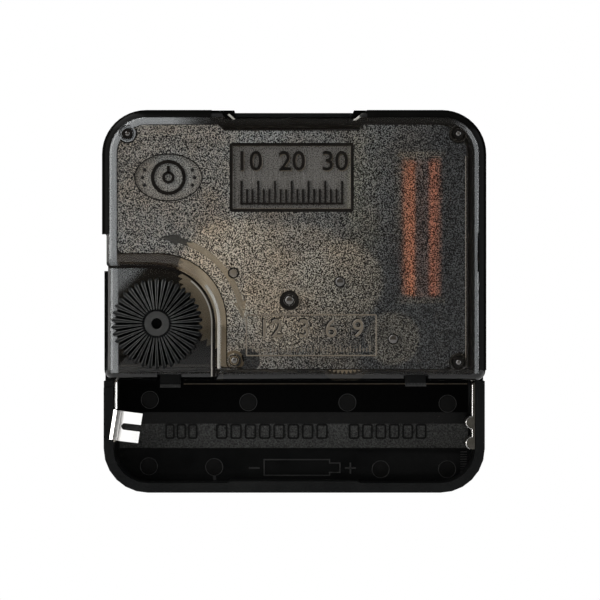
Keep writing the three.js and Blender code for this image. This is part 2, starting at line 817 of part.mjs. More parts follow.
function makeCase() {
  const shell = loft([
    { depth: seatHeight, points: bodyOutline(frontRound) },
    {
      depth: seatHeight + frontRound * frontBevelShare,
      points: bodyOutline(frontRound * frontBevelShare),
    },
    { depth: seatHeight + frontRound, points: bodyOutline(0) },
    { depth: ledgeDepth, points: bodyOutline(0) },
  ]);
  const bayTower = slab(
    frame(left, bottom, right, bayTop, 0, cornerRadius),
    ledgeDepth - overrun,
    rimDepth,
  );
  const tower = slab(coverOutline(towerInset), ledgeDepth - overrun, towerDepth);
  const seat = column(0, 0, seatRadius, 0, floorDepth, largeSides);
  const ribBase = top - topNotchDepth + clearance;
  const topRib = slab(outline([
    { x: topNotchLeft + clearance, z: ribBase, r: 0 },
    { x: topNotchRight - clearance, z: ribBase, r: 0 },
    { x: topNotchRight - clearance, z: top - towerInset, r: 0 },
    { x: topNotchRight - towerInset, z: top - topRibInset, r: 0 },
    { x: topNotchLeft + towerInset, z: top - topRibInset, r: 0 },
    { x: topNotchLeft + clearance, z: top - towerInset, r: 0 },
  ]), ledgeDepth - overrun, latchDepth);
  const sideLatch = block(
    right - sideLatchWidth + clearance,
    right - sideLatchInset,
    sideLatchTop - sideLatchHeight + clearance,
    sideLatchTop - clearance,
    ledgeDepth - overrun,
    latchDepth,
  );
  const lowerHooks = hooks.map((hook) => block(
    hook.x - hookWidth / 2,
    hook.x + hookWidth / 2,
    bayTop - hookReach,
    partitionTop,
    hook.depth,
    hook.depth + hookThickness,
  ));
  const lowPocket = slab(
    frame(bayLeft, partitionTop, bayRight, top - bayWall, cornerRadius - bayWall, fit),
    floorDepth,
    ledgeDepth - clearance,
  );
  const highPocket = slab(
    frame(left + pocketInset, partitionTop, right - pocketInset, top - pocketInset,
      cornerRadius - pocketInset, fit),
    floorDepth,
    bodyDepth,
  );
  const bayPoints = frame(bayLeft, bayBottom, bayRight, bayTop, fit, cornerRadius - bayWall);
  const bay = slab(bayPoints, floorDepth, rimDepth + overrun);
  const trough = new THREE.CylinderGeometry(troughRadius, troughRadius, bayRight - bayLeft, largeSides);
  trough.rotateZ(Math.PI / 2);
  trough.translate((bayLeft + bayRight) / 2, -seatHeight - troughFloor - troughRadius, bayCentreZ);
  const rimBlock = slab(outline([
    { x: rimStepLeft - rimStepSlant, z: bayBottom - fit, r: 0 },
    { x: rimStepRight + rimStepSlant, z: bayBottom - fit, r: 0 },
    { x: rimStepRight, z: bayBottom + rimStep, r: 0 },
    { x: rimStepLeft, z: bayBottom + rimStep, r: 0 },
  ]), floorDepth - fit, rimDepth);
  const wellRoom = slab(wellOutline(wellDraft + wellFloorWall + clearance), wellRise - clearance,
    bodyDepth + overrun);
  const posts = cornerPosts.flatMap((post) => [
    column(post.x, post.z, postRadius, floorDepth - fit, towerDepth),
    column(post.x, post.z, postPinRadius, towerDepth - fit, bodyDepth - fit),
  ]);
  const pillars = [...innerPillars, edgePillar].flatMap((pillar) => [
    column(pillar.x, pillar.z, pillarRadius, floorDepth - fit, pillarTop),
    column(pillar.x, pillar.z, pillarPin, pillarTop - fit, plateBack),
  ]);
  const supports = boardPosts.flatMap((post) => [
    column(post.x, post.z, boardPostRadius, floorDepth - fit, boardFront - seatGap),
    column(post.x, post.z, boardPinRadius, boardFront - clearance, boardBack),
  ]);
  const statorStand = [
    column(statorPost.x, statorPost.z, boardPostRadius, floorDepth - fit, boardFront - seatGap),
    column(statorPost.x, statorPost.z, statorPostRadius, boardFront - clearance,
      statorFront - seatGap),
    column(statorPost.x, statorPost.z, statorPinRadius, statorFront - clearance, statorBack),
  ];
  const motionStud = column(motionX, motionZ, motionStudRadius, floorDepth - fit,
    motionBack + clearance);
  const shaftBoss = column(knobX, knobZ, shaftBossRadius, floorDepth - fit,
    floorDepth + shaftBossHeight, mediumSides);
  const shaftSocket = column(knobX, knobZ, shaftPivotRadius + clearance, floorDepth,
    floorDepth + shaftBossHeight + overrun);
  const idlerRoom = column(idlerX, idlerZ, tipRadius(idlerLarge) + clearance,
    idlerFront - clearance, bodyDepth, largeSides);
  const hollow = cut(
    join(shell, bayTower, tower, seat),
    lowPocket,
    highPocket,
    bay,
    toSolid(trough).intersect(slab(bayPoints, 0, rimDepth)),
    idlerRoom,
  );
  const furnished = join(hollow, topRib, sideLatch, lowerHooks[1], rimBlock, posts, pillars,
    supports, statorStand, motionStud, shaftBoss);
  const sealed = cut(furnished, wellRoom, shaftSocket, gripGroove(), stripRoom(),
    column(0, 0, bushRadius + fit, -overrun, floorDepth + overrun, mediumSides));
  return join(sealed, lowerHooks[0]);
}

/** Outer form of the cover up to a depth, with its draft and its rounded shoulder. */
function coverForm(back) {
  const skirtBack = back - shoulderDepth;
  const bend = shoulderWidth - skirtDraft;
  const shoulder = Array.from({ length: shoulderSteps + 1 }, (_, i) => {
    const angle = i * Math.PI / 2 / shoulderSteps;
    return {
      depth: skirtBack + shoulderDepth * Math.sin(angle),
      points: coverOutline(skirtDraft + bend * (1 - Math.cos(angle))),
    };
  });
  return loft([{ depth: ledgeDepth + fit, points: coverOutline(0) }, ...shoulder]);
}

/** Outline of the frosted panel, with its notch round the knob's well. */
function panelOutline() {
  const reach = wellRadius + panelWellMargin;
  const middle = (panelLeft + knobX) / 2;
  const notchZ = panelTop - panelNotchDrop;
  return outline([
    { x: knobX + reach, z: panelBottom, r: panelCorner },
    { x: panelRight, z: panelBottom, r: panelCorner },
    { x: panelRight, z: panelTop, r: panelRadius },
    { x: topNotchRight + panelNotchDrop, z: panelTop, r: 0 },
    { x: topNotchRight, z: notchZ, r: 0 },
    { x: topNotchLeft, z: notchZ, r: 0 },
    { x: topNotchLeft - panelNotchDrop, z: panelTop, r: 0 },
    { x: panelLeft, z: panelTop, r: panelRadius },
    { x: panelLeft, z: knobZ + reach, r: panelCorner },
    { x: middle, z: knobZ + reach, r: 0 },
    { x: knobX + reach, z: knobZ + reach, r: reach - clearance },
  ]);
}

function makeCover() {
  const studs = [
    ...cornerPosts.map((post) => ({ ...post, r: postPinRadius })),
    { ...plateStud, r: plateStudPin },
  ];
  const wellBody = slab(wellOutline(wellDraft + wellFloorWall), 0, bodyDepth);
  const cavityLow = join(
    slab(coverOutline(skirtWall), ledgeDepth, wellRise),
    slab(coverOutline(skirtWall + cavityStep), wellRise - fit, wellInside),
  );
  const cavityHigh = cut(
    join(
      slab(coverOutline(skirtWall), wellRise - fit, cavityStepDepth),
      slab(coverOutline(skirtWall + cavityStep), cavityStepDepth - fit, coverInside),
    ),
    wellBody,
  );
  const wellEdge = Array.from({ length: shoulderSteps + 1 }, (_, i) => {
    const angle = i * Math.PI / 2 / shoulderSteps;
    return {
      depth: bodyDepth - wellRound * (1 - Math.sin(angle)),
      points: wellOutline(wellDraft + wellRound * (1 - Math.cos(angle))),
    };
  });
  const well = loft([
    { depth: wellFloorDepth, points: wellOutline(0) },
    ...wellEdge,
    { depth: bodyDepth + overrun, points: wellOutline(wellDraft + wellRound) },
  ]);
  const islands = studs.map((stud) => column(stud.x, stud.z, studIslandRadius,
    bodyDepth - overrun, bodyDepth + overrun, mediumSides));
  const panel = cut(slab(panelOutline(), bodyDepth - panelStep, bodyDepth + overrun), islands);
  const namePlate = slab(
    frame(labelX - labelWidth / 2, labelZ - labelHeight / 2, labelX + labelWidth / 2,
      labelZ + labelHeight / 2, labelRadius),
    bodyDepth - plateRecess - panelStep,
    bodyDepth + overrun,
  );
  const oval = slab(
    ellipse(ovalX, labelZ, ovalHalfWidth, ovalHalfHeight),
    bodyDepth - plateRecess - panelStep,
    bodyDepth + overrun,
  );
  const pivots = [[thirdX, thirdZ], [crownX, crownZ], [idlerX, idlerZ], [rotorX, rotorZ]];
  const bosses = [...pivots, [0, 0]].map(([x, z]) => column(x, z, pivotBossRadius, bossDepth,
    coverInside + fit));
  const pivotHoles = pivots.map(([x, z]) => column(x, z, pivotHoleRadius, bossDepth - overrun,
    coverInside + pivotHoleDepth));
  const centreHole = column(0, 0, centreHoleRadius, bossDepth - overrun, bodyDepth + overrun);
  const shaftHole = column(knobX, knobZ, shaftRadius + clearance, wellInside - overrun,
    wellFloorDepth + overrun);
  const studHoles = studs.flatMap((stud) => [
    column(stud.x, stud.z, stud.r + clearance, coverInside - overrun, bodyDepth + overrun),
    column(stud.x, stud.z, studRingRadius, bodyDepth - studRingDepth, bodyDepth + overrun,
      mediumSides),
  ]);
  const topNotch = slab([
    new THREE.Vector2(topNotchLeft, top - topNotchDepth),
    new THREE.Vector2(topNotchRight, top - topNotchDepth),
    new THREE.Vector2(topNotchRight + topNotchSlant, top + overrun),
    new THREE.Vector2(topNotchLeft - topNotchSlant, top + overrun),
  ], 0, bodyDepth + overrun);
  const sideWindow = block(right - sideLatchWidth, right + overrun, sideLatchTop - sideLatchHeight,
    sideLatchTop, ledgeDepth - overrun, bodyDepth + overrun);
  const lowerWindows = hooks.map((hook) => block(
    hook.x - hookWidth / 2 - clearance,
    hook.x + hookWidth / 2 + clearance,
    bayTop - overrun,
    bayTop + skirtWall + clearance,
    hook.depth - clearance,
    bodyDepth + overrun,
  ));
  const upperForm = cut(coverForm(bodyDepth), slab(wellOutline(0), 0, bodyDepth + overrun));
  return cut(
    join(cut(join(upperForm, coverForm(wellFloorDepth)), cavityLow, cavityHigh), bosses),
    well,
    panel,
    namePlate,
    oval,
    pivotHoles,
    centreHole,
    shaftHole,
    studHoles,
    topNotch,
    sideWindow,
    lowerWindows,
    gripGroove(),
  );
}

function makeMiddlePlate() {
  const holes = [
    circle(0, 0, secondsPinRadius + clearance, smallSides),
    circle(thirdX, thirdZ, journalRadius + clearance, mediumSides),
    circle(idlerX, idlerZ, pivotHoleRadius, smallSides),
    circle(rotorX, rotorZ, pivotHoleRadius, smallSides),
    circle(plateWindow.x, plateWindow.z, plateWindowRadius, smallSides),
    ...innerPillars.map((pillar) => circle(pillar.x, pillar.z, pillarHole, smallSides)),
  ];
  const notchLeft = edgePillar.x - pillarHole;
  const notchRight = edgePillar.x + pillarHole;
  const notchTop = edgePillar.z + pillarHole;
  const plate = slab(outline([
    { x: plateLeft, z: plateBottom, r: plateCorner },
    { x: notchLeft, z: plateBottom, r: 0 },
    { x: notchLeft, z: notchTop, r: 0 },
    { x: notchRight, z: notchTop, r: 0 },
    { x: notchRight, z: plateBottom, r: 0 },
    { x: plateLobeRight, z: plateBottom, r: plateCorner },
    { x: plateLobeRight, z: plateLobeTop, r: plateCorner },
    { x: plateRight, z: plateLobeTop, r: plateCorner },
    { x: plateRight, z: plateShoulderZ, r: plateCorner },
    { x: plateShoulderX, z: plateShoulderZ, r: 0 },
    { x: plateTopRight, z: plateTop, r: plateCorner },
    { x: plateLeft, z: plateTop, r: plateCorner },
  ], cornerSteps / 2), plateFront, plateBack, holes);
  const stud = [
    column(plateStud.x, plateStud.z, plateStudRadius, plateBack - fit, towerDepth),
    column(plateStud.x, plateStud.z, plateStudPin, towerDepth - fit, bodyDepth - fit),
  ];
  const pegs = statorPegs.flatMap((peg) => [
    column(peg.x, peg.z, statorPostRadius, plateBack - fit, statorFront - seatGap),
    column(peg.x, peg.z, statorPinRadius, statorFront - clearance, statorBack),
  ]);
  const crownBoss = column(crownX, crownZ, plateBossRadius, plateBack - fit,
    plateBack + plateBossHeight);
  const crownHole = column(crownX, crownZ, slimArborRadius + clearance, plateFront + clearance,
    plateBack + plateBossHeight + overrun);
  return cut(join(plate, stud, pegs, crownBoss), crownHole);
}

/** Bush with its thread as even grooves, its flange seated inside the case. */
function makeBush() {
  const turns = Math.floor((bushHeight - threadPitch) / threadPitch);
  const profile = [
    { r: bushBore, depth: floorDepth + bushFlange },
    { r: bushFlangeRadius, depth: floorDepth + bushFlange },
    { r: bushFlangeRadius, depth: floorDepth },
    { r: bushRadius, depth: floorDepth },
  ];
  for (let i = 0; i < turns; i += 1) {
    const start = -(threadPitch / 2 + i * threadPitch);
    profile.push({ r: bushRadius, depth: start });
    profile.push({ r: bushRadius - threadDepth, depth: start - threadPitch / 2 });
  }
  const last = -(threadPitch / 2 + turns * threadPitch);
  profile.push({ r: bushRadius, depth: last });
  profile.push({ r: bushRadius - threadDepth, depth: -bushHeight });
  profile.push({ r: bushBore, depth: -bushHeight });
  profile.push(profile[0]);
  return turned(0, 0, profile);
}

function makeNut() {
  const hexRadius = nutAcrossFlats / 2 / Math.cos(Math.PI / nutSides);
  const hex = slab(circle(0, 0, hexRadius, nutSides), -washerThickness - nutThickness,
    -washerThickness);
  const dome = turned(0, 0, [
    { r: 0, depth: -washerThickness },
    { r: hexRadius, depth: -washerThickness },
    { r: hexRadius, depth: -washerThickness - nutThickness + nutChamfer },
    { r: nutAcrossFlats / 2 - nutChamfer / 2, depth: -washerThickness - nutThickness },
    { r: 0, depth: -washerThickness - nutThickness },
  ]);
  const bore = column(0, 0, bushRadius + fit, -washerThickness - nutThickness - overrun,
    overrun, mediumSides);
  return cut(hex.intersect(dome), bore);
}

function makeWasher() {
  return slab(circle(0, 0, washerRadius, largeSides), -washerThickness, 0,
    [circle(0, 0, bushRadius + clearance, mediumSides)]);
}

function makeHourWheel() {
  const disc = slab(wheelOutline(hourLarge), hourFront, hourFront + hourThickness);
  const tube = column(0, 0, hourTubeRadius, -hourTubeHeight, hourFront + fit, mediumSides);
  const bore = column(0, 0, hourTubeBore, -hourTubeHeight - overrun, floorDepth + bodyDepth,
    mediumSides);
  return cut(join(disc, tube), bore);
}

function makeMotionWheel() {
  const disc = slab(wheelOutline(motionLarge), motionFront, motionBack);
  const pinion = slab(pinionOutline(motionPinion), hourFront - leafOverlap / 2, motionFront + fit);
  const bore = column(motionX, motionZ, motionBore, floorDepth, motionBack + overrun);
  return cut(join(disc, pinion), bore);
}

function makeMinuteTube() {
  const back = minuteBack + collarGap;
  const tube = column(0, 0, minuteTubeRadius, -minuteTubeHeight, back + minuteCollar, mediumSides);
  const pinion = slab(pinionOutline(minutePinion), motionFront - leafOverlap / 2,
    motionBack + leafOverlap / 2);
  const collar = column(0, 0, minuteTubeRadius + clearance, back, back + minuteCollar, mediumSides);
  const bore = column(0, 0, minuteTubeBore, -minuteTubeHeight - overrun, bodyDepth);
  return cut(join(tube, pinion, collar), bore);
}

function makeMinuteGear() {
  return slab(wheelOutline(minuteLarge), minuteFront, minuteBack,
    [circle(0, 0, minuteTubeRadius + fit, mediumSides)]);
}

function makeThirdWheel() {
  const leafFront = minuteFront - clearance;
  const leafBack = minuteBack + leafOverlap;
  return join(
    slab(pinionOutline(thirdPinion), leafFront, leafBack + fit),
    column(thirdX, thirdZ, journalRadius, leafBack, thirdFront + fit, mediumSides),
    slab(wheelOutline(thirdLarge), thirdFront, thirdBack),
    column(thirdX, thirdZ, arborRadius, thirdBack - fit, bossDepth - clearance),
    column(thirdX, thirdZ, pivotRadius, bossDepth - clearance - fit, pivotEnd),
  );
}

function makeSecondsWheel() {
  const leafFront = plateBack + 2 * clearance;
  const leafBack = thirdBack + leafOverlap;
  const solid = join(
    slab(pinionOutline(secondsPinion), leafFront, leafBack + fit),
    column(0, 0, pivotBossRadius, leafBack, secondsBack + leafOverlap, mediumSides),
    slab(wheelOutline(secondsLarge), secondsFront, secondsBack),
  );
  return cut(solid, column(0, 0, secondsPinRadius + fit / 2, 0, bodyDepth));
}

function makeSecondsPin() {
  return turned(0, 0, [
    { r: 0, depth: bodyDepth - fit },
    { r: secondsPinRadius - secondsPinRound, depth: bodyDepth - fit },
    { r: secondsPinRadius, depth: bodyDepth - fit - secondsPinRound },
    { r: secondsPinRadius, depth: -secondsPinHeight + secondsPinRound },
    { r: secondsPinRadius - secondsPinRound, depth: -secondsPinHeight },
    { r: 0, depth: -secondsPinHeight },
  ], smallSides);
}

function makeCrownWheel() {
  const leafFront = secondsFront - leafOverlap;
  return join(
    column(crownX, crownZ, slimArborRadius, plateBack, leafFront + fit),
    slab(pinionOutline(crownPinion), leafFront, crownFront + fit),
    slab(wheelOutline(crownLarge), crownFront, crownBack),
    column(crownX, crownZ, arborRadius, crownBack - fit, bossDepth - clearance),
    column(crownX, crownZ, pivotRadius, bossDepth - clearance - fit, pivotEnd),
  );
}

function makeIdlerWheel() {
  const leafFront = crownFront - leafOverlap;
  const leafBack = crownBack + leafOverlap;
  return join(
    column(idlerX, idlerZ, pivotRadius, plateFront + clearance, plateBack + clearance + fit),
    column(idlerX, idlerZ, plateBossRadius, plateBack + clearance, idlerFront + fit),
    slab(wheelOutline(idlerLarge), idlerFront, idlerBack),
    column(idlerX, idlerZ, arborRadius, idlerBack - fit, leafFront + fit),
    slab(pinionOutline(idlerPinion), leafFront, leafBack),
    column(idlerX, idlerZ, pivotRadius, leafBack - fit, pivotEnd),
  );
}

function makeRotor() {
  return join(
    column(rotorX, rotorZ, pivotRadius, plateFront + clearance, rotorPinionFront + fit),
    slab(pinionOutline(rotorPinion), rotorPinionFront, rotorPinionBack),
    column(rotorX, rotorZ, arborRadius, rotorPinionBack - fit, rotorHubFront + fit),
    column(rotorX, rotorZ, rotorHubFlange, rotorHubFront, magnetFront, mediumSides),
    column(rotorX, rotorZ, magnetBore - fit, magnetFront - fit, magnetBack + fit, mediumSides),
    column(rotorX, rotorZ, rotorHubFlange, magnetBack, rotorDiscFront + fit, mediumSides),
    column(rotorX, rotorZ, rotorDiscRadius, rotorDiscFront, rotorDiscBack, mediumSides),
    column(rotorX, rotorZ, pivotRadius, rotorDiscBack - fit, pivotEnd),
  );
}

function makeMagnet() {
  return slab(circle(rotorX, rotorZ, magnetRadius, mediumSides), magnetFront, magnetBack,
    [circle(rotorX, rotorZ, magnetBore, mediumSides)]);
}

/** Setting shaft with its gear, from the case's socket to inside the knob. */
function makeShaft() {
  const gearBack = motionBack + leafOverlap;
  const socketTop = floorDepth + shaftBossHeight;
  return join(
    column(knobX, knobZ, shaftPivotRadius, floorDepth + clearance, socketTop + clearance + fit),
    column(knobX, knobZ, shaftRadius, socketTop + clearance, knobBackDepth, mediumSides),
    slab(wheelOutline(knobGear), motionFront - leafOverlap / 2, gearBack),
    column(knobX, knobZ, shaftPivotRadius, knobBackDepth - fit, knobFaceDepth - ridgeDrop - fit),
  );
}

/** Knob with radial ridges, each crest between two grooves that deepen to the rim. */
function makeKnob() {
  const steps = 2 * knobRidges;
  const stations = [
    { crest: knobRadius, groove: knobRadius - ridgeReach, rise: 0, drop: 0 },
    { crest: knobRadius, groove: knobRadius - ridgeReach, rise: 1, drop: ridgeDrop },
    { crest: knobRadius - ridgeNose, groove: knobRadius - ridgeReach, rise: 1, drop: ridgeDrop },
    { crest: ridgeRootRadius, groove: ridgeRootRadius, rise: 1, drop: ridgeRootDrop },
    { crest: knobHubRadius, groove: knobHubRadius, rise: 1, drop: 0 },
  ];
  const rings = stations.map((station, level) => Array.from({ length: steps }, (_, i) => {
    const onCrest = i % 2 === 0;
    const angle = i * Math.PI / knobRidges;
    const radius = onCrest ? station.crest : station.groove;
    const nose = level === 1 ? ridgeNose : 0;
    const sunk = onCrest ? nose : station.drop + nose / 2;
    const depth = station.rise ? knobFaceDepth - sunk : knobBackDepth;
    return new THREE.Vector3(
      knobX + radius * Math.cos(angle),
      -depth,
      knobZ + radius * Math.sin(angle),
    );
  }));
  const body = skin(rings);
  const socket = column(knobX, knobZ, shaftPivotRadius + fit, knobBackDepth - overrun,
    knobFaceDepth - ridgeDrop);
  const hole = column(knobX, knobZ, knobHoleRadius, knobBackDepth, knobFaceDepth + overrun);
  return cut(body, socket, hole);
}

function makeStator() {
  const slotX = statorLegRight - statorSlot;
  const plate = slab(outline([
    { x: statorLeft, z: statorBottom, r: plateCorner },
    { x: statorBodyRight, z: statorBottom, r: plateCorner },
    { x: statorBodyRight, z: statorPadBottom - plateCorner, r: 0 },
    { x: statorRight, z: statorPadBottom, r: plateCorner / 2 },
    { x: statorRight, z: statorPadTop, r: plateCorner / 2 },
    { x: statorLegRight, z: statorPadTop, r: 0 },
    { x: statorLegRight, z: boardTop - statorFoot, r: 0 },
    { x: statorRight, z: boardTop - statorFoot, r: plateCorner / 2 },
    { x: statorRight, z: boardTop, r: plateCorner / 2 },
    { x: statorLegLeft, z: boardTop, r: plateCorner / 2 },
    { x: statorLegLeft, z: statorPadTop, r: plateCorner },
    { x: statorLeft, z: statorPadBottom, r: plateCorner },
  ], cornerSteps / 2), statorFront, statorBack, [
    circle(statorPost.x, statorPost.z, statorPinRadius + clearance, smallSides),
    ...statorPegs.map((peg) => circle(peg.x, peg.z, statorPinRadius + clearance, smallSides)),
  ]);
  return cut(
    plate,
    column(rotorX, rotorZ, statorHole, 0, bodyDepth, mediumSides),
    block(slotX, slotX + statorSlot, rotorZ + statorHole - overrun, statorPadTop + overrun, 0,
      bodyDepth),
  );
}

function makeCore() {
  return block(coilX - coreWidth / 2, coilX + coreWidth / 2, statorPadBottom + coreInset,
    boardTop - coreInset, statorFront - coreThickness, statorFront);
}

/** Round section about the coil's axis, from one height to another. */
function coilColumn(radius, low, high, sides) {
  const shape = new THREE.Shape(circle(coilX, -coilDepth, radius, sides));
  const geometry = new THREE.ExtrudeGeometry(shape, { depth: high - low, bevelEnabled: false });
  geometry.translate(0, 0, low);
  return toSolid(geometry);
}

function makeBobbin() {
  const half = bobbinFlangeWidth / 2;
  const flanges = [coilBottom - bobbinFlange, coilTop].map((low) => block(
    coilX - half,
    coilX + half,
    low,
    low + bobbinFlange,
    coilDepth - half,
    coilDepth + half,
  ));
  const tube = coilColumn(bobbinRadius, coilBottom - fit, coilTop + fit, mediumSides);
  const bore = block(
    coilX - coreWidth / 2 - bobbinBoreMargin,
    coilX + coreWidth / 2 + bobbinBoreMargin,
    coilBottom - bobbinFlange - overrun,
    coilTop + bobbinFlange + overrun,
    coilDepth - coreThickness / 2 - bobbinBoreMargin,
    coilDepth + coreThickness / 2 + bobbinBoreMargin,
  );
  return cut(join(tube, flanges), bore);
}

/** Inner layers of the winding, as one plain sleeve on the bobbin. */
function makeInnerWinding() {
  const outer = coilRadius - wireDiameter - clearance;
  const sleeve = coilColumn(outer, coilBottom + fit, coilTop - fit, mediumSides);
  const bore = coilColumn(bobbinRadius + fit, coilBottom - overrun, coilTop + overrun, mediumSides);
  return cut(sleeve, bore);
}

/** Path of the outer layer, its ends straight along the coil for one wire diameter. */
function windingPath() {
  const radius = coilRadius - wireDiameter / 2;
  const endRoom = clearance + 2 * wireDiameter;
  const low = coilBottom + endRoom;
  const high = coilTop - endRoom;
  const steps = wireLoops * wireStepsPerLoop;
  const path = Array.from({ length: steps + 1 }, (_, i) => {
    const angle = i * 2 * Math.PI / wireStepsPerLoop;
    const radial = new THREE.Vector3(Math.cos(angle), Math.sin(angle), 0);
    const tangent = new THREE.Vector3(-Math.sin(angle), Math.cos(angle), 0);
    const centre = new THREE.Vector3(coilX, -coilDepth, low + (high - low) * i / steps);
    return { point: centre.addScaledVector(radial, radius), radial, tangent };
  });
  const up = new THREE.Vector3(0, 0, 1);
  const bend = (end, sign) => {
    const slant = end.tangent.clone().add(up).normalize();
    const long = sign * wireDiameter * wireTurnShare;
    const short = sign * wireDiameter * (1 - wireTurnShare);
    const turnPoint = end.point.clone().addScaledVector(end.tangent, long);
    turnPoint.addScaledVector(up, short);
    const straight = turnPoint.clone().addScaledVector(end.tangent, short);
    straight.addScaledVector(up, long);
    return [
      { point: turnPoint, radial: end.radial, tangent: slant },
      { point: straight, radial: end.radial, tangent: up },
      {
        point: straight.clone().addScaledVector(up, sign * wireDiameter),
        radial: end.radial,
        tangent: up,
      },
    ];
  };
  return [...bend(path[0], -1).reverse(), ...path, ...bend(path[steps], 1)];
}

/** Outer layer of the winding as one unbroken wire. */
function makeOuterWinding(path) {
  return skin(path.map((station) => {
    const across = station.tangent.clone().cross(station.radial);
    return Array.from({ length: wireSides }, (_, i) => {
      const angle = i * 2 * Math.PI / wireSides;
      return station.point.clone()
        .addScaledVector(station.radial, wireDiameter / 2 * Math.cos(angle))
        .addScaledVector(across, wireDiameter / 2 * Math.sin(angle));
    });
  }));
}

/** Least gap between parts of the wire that lie more than half a loop apart. */
function leastWireGap(path) {
  const apart = wireStepsPerLoop / 2;
  let least = Infinity;
  path.forEach((here, i) => {
    path.slice(i + apart).forEach((there) => {
      least = Math.min(least, here.point.distanceTo(there.point));
    });
  });
  return least - wireDiameter;
}

function makeBoard() {
  const holes = [
    ...boardPosts.map((post) => circle(post.x, post.z, boardPinRadius + clearance, smallSides)),
    circle(statorPost.x, statorPost.z, statorPostRadius + clearance, smallSides),
  ];
  return slab(frame(boardLeft, boardBottom, boardRight, boardTop, plateCorner, plateCorner,
    cornerSteps / 2), boardFront, boardBack, holes);
}

/** Crystal can lying on the board, with its two leads. */
function makeCrystal() {
  const depth = boardBack + crystalRadius;
  const can = new THREE.CylinderGeometry(crystalRadius, crystalRadius, crystalLength, smallSides);
  can.rotateX(Math.PI / 2);
  can.translate(crystalX, -depth, crystalZ);
  const end = crystalZ - crystalLength / 2;
  const leads = [-1, 1].map((side) => {
    const x = crystalX + side * crystalRadius / 2;
    return block(x - pivotRadius / 2, x + pivotRadius / 2, end - crystalLead, end + fit,
      depth - pivotRadius / 2, depth + pivotRadius / 2);
  });
  const flat = block(crystalX - crystalRadius, crystalX + crystalRadius, end - crystalLead,
    crystalZ + crystalLength, boardFront, boardBack + fit / 2);
  return cut(join(toSolid(can), leads), flat);
}

function makeChip() {
  const rim = frame(chipX - chipWidth / 2, chipZ - chipHeight / 2, chipX + chipWidth / 2,
    chipZ + chipHeight / 2, plateCorner, plateCorner, cornerSteps / 2);
  const shrink = (share) => rim.map((point) => new THREE.Vector2(
    chipX + (point.x - chipX) * share,
    chipZ + (point.y - chipZ) * share,
  ));
  return loft([
    { depth: boardBack, points: rim },
    { depth: boardBack + chipThickness * chipShoulderShare / 2, points: shrink(chipShoulderShare) },
    { depth: boardBack + chipThickness, points: shrink(chipCrownShare) },
  ]);
}

function makeSolder(rise) {
  return turned(chipX + solderFromChip, boardBottom + rise, [
    { r: 0, depth: boardBack },
    { r: solderRadius, depth: boardBack },
    {
      r: solderRadius * solderShoulderShare,
      depth: boardBack + solderHeight * solderShoulderShare,
    },
    { r: 0, depth: boardBack + solderHeight },
  ], smallSides);
}

/** Positive contact: a strip with two bumps, led up the right wall to the board. */
function makePositiveContact() {
  const outer = bayRight - seatGap;
  const inner = outer - stripThickness;
  const low = bayCentreZ - contactDrop;
  const half = Math.acos(1 - bumpReach / (2 * bumpRadius)) * bumpRadius;
  const face = [bayCentreZ + highBump, bayCentreZ - lowBump].flatMap((z) => [
    new THREE.Vector2(inner, z + half),
    new THREE.Vector2(inner - bumpReach * bumpSideShare, z + half * bumpSpreadShare),
    new THREE.Vector2(inner - bumpReach, z),
    new THREE.Vector2(inner - bumpReach * bumpSideShare, z - half * bumpSpreadShare),
    new THREE.Vector2(inner, z - half),
  ]);
  const strip = slab([
    new THREE.Vector2(outer, low),
    new THREE.Vector2(outer, bayTop - clearance),
    new THREE.Vector2(inner, bayTop - clearance),
    ...face,
    new THREE.Vector2(inner, low),
  ], stripFront, contactBack);
  const tabX = boardRight - tabInset;
  const tabLow = boardBottom + positiveTabRise - tabHeight / 2;
  const tabHigh = tabLow + tabHeight;
  return join(
    strip,
    block(inner, outer, bayTop - overrun, tabHigh, stripFront, stripBack),
    block(tabX, outer, tabLow, tabHigh, stripBack - stripThickness, stripBack),
    block(tabX, tabX + stripThickness, tabLow, tabHigh, stripBack - fit,
      boardFront),
  );
}

/** Negative contact: a strip on the left wall, led along the partition to the board. */
function makeNegativeContact() {
  const inner = bayLeft + stripThickness;
  const high = bayCentreZ + negativeTop;
  const low = bayCentreZ - negativeBottom;
  const leadTop = boardBottom + leadRise;
  const leadLow = partitionTop + clearance;
  const leadHigh = leadLow + stripThickness;
  const foldFront = rimDepth + seatGap;
  return join(
    block(bayLeft, inner, low, high, stripFront, foldDepth),
    block(bayLeft - foldReach, inner, low, high, foldFront, foldDepth),
    block(bayLeft, inner, high - overrun, leadHigh, stripFront, stripBack),
    block(bayLeft, leadX + stripThickness, leadLow, leadHigh, stripFront, stripBack),
    block(leadX, leadX + stripThickness, leadLow, leadTop, stripFront, stripBack),
    block(leadX, leadX + stripThickness, leadTop - tabHeight, leadTop, stripBack - fit,
      boardFront),
  );
}

/** Split spring leaf of the negative contact, drawn from its fold at the origin. */
function makeLeaf() {
  const half = leafWidth / 2;
  const tongue = outline([
    { x: 0, z: -half, r: 0 },
    { x: leafLength, z: -half, r: 0 },
    { x: leafLength, z: -leafSlot / 2, r: 0 },
    { x: leafSlotStart, z: -leafSlot / 2, r: leafSlot * leafSlotRoundShare },
    { x: leafSlotStart, z: leafSlot / 2, r: leafSlot * leafSlotRoundShare },
    { x: leafLength, z: leafSlot / 2, r: 0 },
    { x: leafLength, z: half, r: 0 },
    { x: 0, z: half, r: 0 },
  ], cornerSteps / 2);
  return slab(tongue, 0, leafThickness);
}

